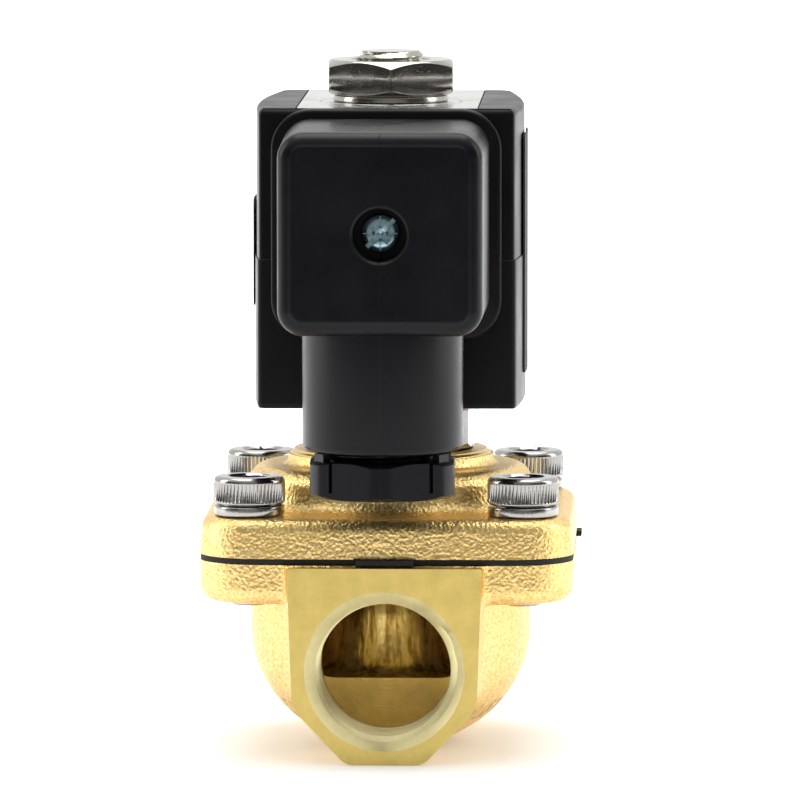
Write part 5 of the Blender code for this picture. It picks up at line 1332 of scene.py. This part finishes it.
screw_front, screw_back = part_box("connector_screw")
top = -screw_front.y
under = 41.15 * MM
tip = -screw_back.y
profile = [(0, tip), (1.1 * MM, tip), (1.4 * MM, tip + 0.3 * MM), (1.4 * MM, under), (2.5 * MM, under),
           (2.7 * MM, under + 0.2 * MM), (2.7 * MM, top - 0.65 * MM), (2.55 * MM, top - 0.38 * MM),
           (2.2 * MM, top - 0.18 * MM), (1.6 * MM, top - 0.06 * MM), (0, top)]
fixing = moved(lathe("connector_screw_piece", profile, 72, ZINC), TO_FRONT, (0, 0, SCREW_Z))
for width, length, depth, angle in ((0.62, 6, 0.85, 45), (0.95, 3.5, 1.15, 45), (0.95, 3.5, 1.15, -45),
                                    (0.16, 5, 0.3, 0), (0.16, 5, 0.3, 90)):
    combine(fixing, across_slot(width * MM, length * MM, depth * MM, angle))
cone = moved(lathe("cone", [(0, top - 1.5 * MM), (1.05 * MM, top - 0.6 * MM), (1.15 * MM, top + 1 * MM),
                            (0, top + 1 * MM)], 24), TO_FRONT, (0, 0, SCREW_Z))
combine(fixing, cone)
soften(fixing, 0.05 * MM, 1, 25)
dress(fixing, "coil", ["connector_screw"])

# %% [markdown]
# ## The gland nut
#
# A hexagon with one corner to the front, blunt corners, and a rib beside each side corner. The small
# tabs on its upper edge and the grooves repeat round its axis, so a tree copies a block round a circle.


# %% The tree that sets blocks round a circle
def around_tree():
    """Equal blocks at even steps round Z, the first at the Start angle."""
    tree, given, maths = start_tree("around", Count="Int", Size="Vector", Radius="Float", Height="Float",
                                    Start="Float")
    block = node(tree, "GeometryNodeMeshCube", {"Size": given["Size"]})
    index = node(tree, "GeometryNodeInputIndex").outputs[0]
    angle = maths("ADD", given["Start"], maths("MULTIPLY", index, maths("DIVIDE", tau, given["Count"])))
    spot = node(tree, "ShaderNodeCombineXYZ", {
        "X": maths("MULTIPLY", maths("COSINE", angle), given["Radius"]),
        "Y": maths("MULTIPLY", maths("SINE", angle), given["Radius"]),
        "Z": given["Height"],
    })
    spots = node(tree, "GeometryNodePoints", {"Count": given["Count"], "Position": spot.outputs[0]})
    turn = node(tree, "ShaderNodeCombineXYZ", {"Z": angle})
    copies = node(tree, "GeometryNodeInstanceOnPoints", {
        "Points": spots.outputs[0], "Instance": block.outputs[0], "Rotation": turn.outputs[0],
    })
    return end_tree(tree, copies.outputs[0], given["Finish"])


AROUND = around_tree()


# %% Gland nut with grooves and tabs
gland_low, gland_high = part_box("gland_nut")
GLAND_FLATS = 20 * MM
GLAND_FACE_R = 9.9 * MM
GLAND_CORNER_R = 10.85 * MM
gland_top = gland_high.z - 1 * MM
floor_z = 39.95 * MM
loops = [circle(5.2 * MM, gland_low.z)]
loops += hex_loops(GLAND_FLATS, gland_low.z, gland_top, GLAND_FACE_R, corner_r=GLAND_CORNER_R)
loops += [circle(8.75 * MM, gland_top), circle(8.75 * MM, floor_z), circle(5 * MM, floor_z),
          circle(5 * MM, gland_low.z + 0.2 * MM)]
gland = skin("gland_nut_piece", loops, CONNECTOR_NYLON, ring=True, sharp=25)
for start in (-47, -13):
    for first in (0, 60, 180, 240):
        groove = grow("grooves", AROUND, Count=1, Size=(1.1 * MM, 0.55 * MM, 8 * MM), Radius=10.3 * MM,
                      Height=gland_low.z + 5 * MM, Start=radians(start + first), Finish=CONNECTOR_NYLON)
        combine(gland, groove)
for first in (-30, 30, 150, 210):
    tab = grow("tabs", AROUND, Count=1, Size=(1.1 * MM, 2.6 * MM, 1.6 * MM), Radius=9.5 * MM,
               Height=gland_high.z - 0.82 * MM, Start=radians(first), Finish=CONNECTOR_NYLON)
    combine(gland, tab, "UNION")
moved(gland, shift=(0, GLAND_Y, 0))
smooth(gland, 25)
dress(gland, "gland_nut", ["gland_nut"])

# %% [markdown]
# ## Pieces whose CAD shape is already right
#
# Plates, seals, blades, clamps, the bobbin and the winding keep their CAD shape, since it says all
# there is to say. They only need the finish of the real part.

# %% Finishes for the pieces that stay
KEPT = {
    "diaphragm_upper_plate": PLATE_STEEL, "diaphragm_lower_plate": TURNED, "diaphragm_rivet": TURNED,
    "plunger": HEX_STEEL, "plunger_seal": RUBBER, "shading_ring": COPPER, "tube_o_ring": RUBBER,
    "nut_o_ring": RUBBER, "coil_bobbin": BOBBIN_NYLON, "coil_winding": COPPER, "connector_gasket": RUBBER,
    "terminal_block": BOBBIN_NYLON, "screw_insert": TURNED, "gland_seal": RUBBER, "gland_ring": PLATE_STEEL,
}
for tag in ("line", "neutral", "earth"):
    KEPT[f"terminal_blade_{tag}"] = PLATE_STEEL
    KEPT[f"contact_{tag}"] = TURNED
for number in (1, 2, 3):
    KEPT[f"clamp_screw_{number}"] = SCREW_STEEL
for name, finish in KEPT.items():
    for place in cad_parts[name].material_slots:
        place.material = finish
print(len(KEPT), "CAD pieces keep their shape")

# %% [markdown]
# ## Camera, floor and light
#
# The valve stands in a white studio. The camera looks a little down on it from far away, with a long
# lens, so the sides hardly converge. Light comes from all round, with the strongest from above;
# the room behind the camera is darker, which is what gives polished metal its dark bands.

# %% Camera
AIM = Vector((1.3 * MM, 0, 48.9 * MM))
DISTANCE = 1.330
AZIMUTH = radians(1.9)
ELEVATION = radians(5.4)
back = Vector((sin(AZIMUTH) * cos(ELEVATION), -cos(AZIMUTH) * cos(ELEVATION), sin(ELEVATION)))
camera_data = bpy.data.cameras.new("camera")
camera_data.lens = 419
camera_data.sensor_width = 36
camera_data.clip_start = 0.05
camera_data.clip_end = 50
camera = bpy.data.objects.new("camera", camera_data)
camera.location = AIM + back * DISTANCE
camera.rotation_mode = "QUATERNION"
camera.rotation_quaternion = (-back).to_track_quat("-Z", "Y")
bpy.context.collection.objects.link(camera)
bpy.context.scene.camera = camera

# %% Floor
floor_finish, tree, shader, place = new_finish("floor", (0.93, 0.93, 0.93), 0.6)
tree.links.new(tint(tree, noise(tree, place, 3, 2), (0.0, (0.92, 0.92, 0.92)), (1.0, (0.95, 0.95, 0.95))),
               shader.inputs["Base Color"])
reach = node(tree, "ShaderNodeVectorMath", {0: place}, operation="LENGTH").outputs["Value"]
tree.links.new(between(tree, reach, 0.12, 0.8, 0.1, 0.7), shader.inputs["Emission Strength"])
shader.inputs["Emission Color"].default_value = (1, 1, 1, 1)
floor = mesh_object("floor", [(-6, -4, 0), (6, -4, 0), (6, 9, 0), (-6, 9, 0)], [(0, 1, 2, 3)], floor_finish)

# %% A black card on the floor, which only polished surfaces see, as their dark bands
card_finish, tree, shader, place = new_finish("black_card", (0.01, 0.01, 0.01), 0.9)
edge = [(-1.6, -2.2), (1.6, -2.2), (1.6, -0.1), (0.55, -0.1), (0.35, -0.3),
        (-0.35, -0.3), (-0.55, -0.1), (-1.6, -0.1)]
card = mesh_object("black_card", [(x, y, 0.6 * MM) for x, y in edge], [tuple(range(len(edge)))], card_finish)
for rays in ("camera", "diffuse", "shadow", "transmission"):
    setattr(card, f"visible_{rays}", False)


# %% Lights and the room
def soft_light(name, power, size, where, towards=(0, 0, 0.05)):
    data = bpy.data.lights.new(name, "AREA")
    data.shape = "RECTANGLE"
    data.size, data.size_y = size
    data.energy = power
    made = bpy.data.objects.new(name, data)
    made.location = where
    made.rotation_mode = "QUATERNION"
    made.rotation_quaternion = (Vector(towards) - Vector(where)).to_track_quat("-Z", "Y")
    made.visible_camera = False
    bpy.context.collection.objects.link(made)
    return made


soft_light("overhead", 16, (1.2, 1.2), (0, 0.2, 1.4))
soft_light("left_box", 6, (0.5, 1.0), (-1.3, 0.1, 0.6))
soft_light("right_box", 5, (0.5, 1.0), (1.3, 0.1, 0.6))

world = bpy.data.worlds.new("studio")
bpy.context.scene.world = world
world.use_nodes = True
tree = world.node_tree
sky = tree.nodes["Background"]
way = node(tree, "ShaderNodeSeparateXYZ", {"Vector": node(tree, "ShaderNodeTexCoord").outputs["Generated"]})
round_level = tint(tree, between(tree, way.outputs["Y"], 0, 1, -1, 1), (0.0, (0.3,) * 3), (0.04, (0.3,) * 3),
                   (0.12, (0.07,) * 3), (0.36, (0.07,) * 3), (0.52, (1,) * 3), (1.0, (1,) * 3))
from_above = between(tree, way.outputs["Z"], 0, 1, 0.35, 0.75)
level = node(tree, "ShaderNodeMath", {0: round_level, 1: from_above}, operation="MAXIMUM").outputs[0]
tree.links.new(level, sky.inputs["Strength"])
sky.inputs["Color"].default_value = (1, 1, 1, 1)
bpy.context.scene.view_settings.view_transform = "Standard"
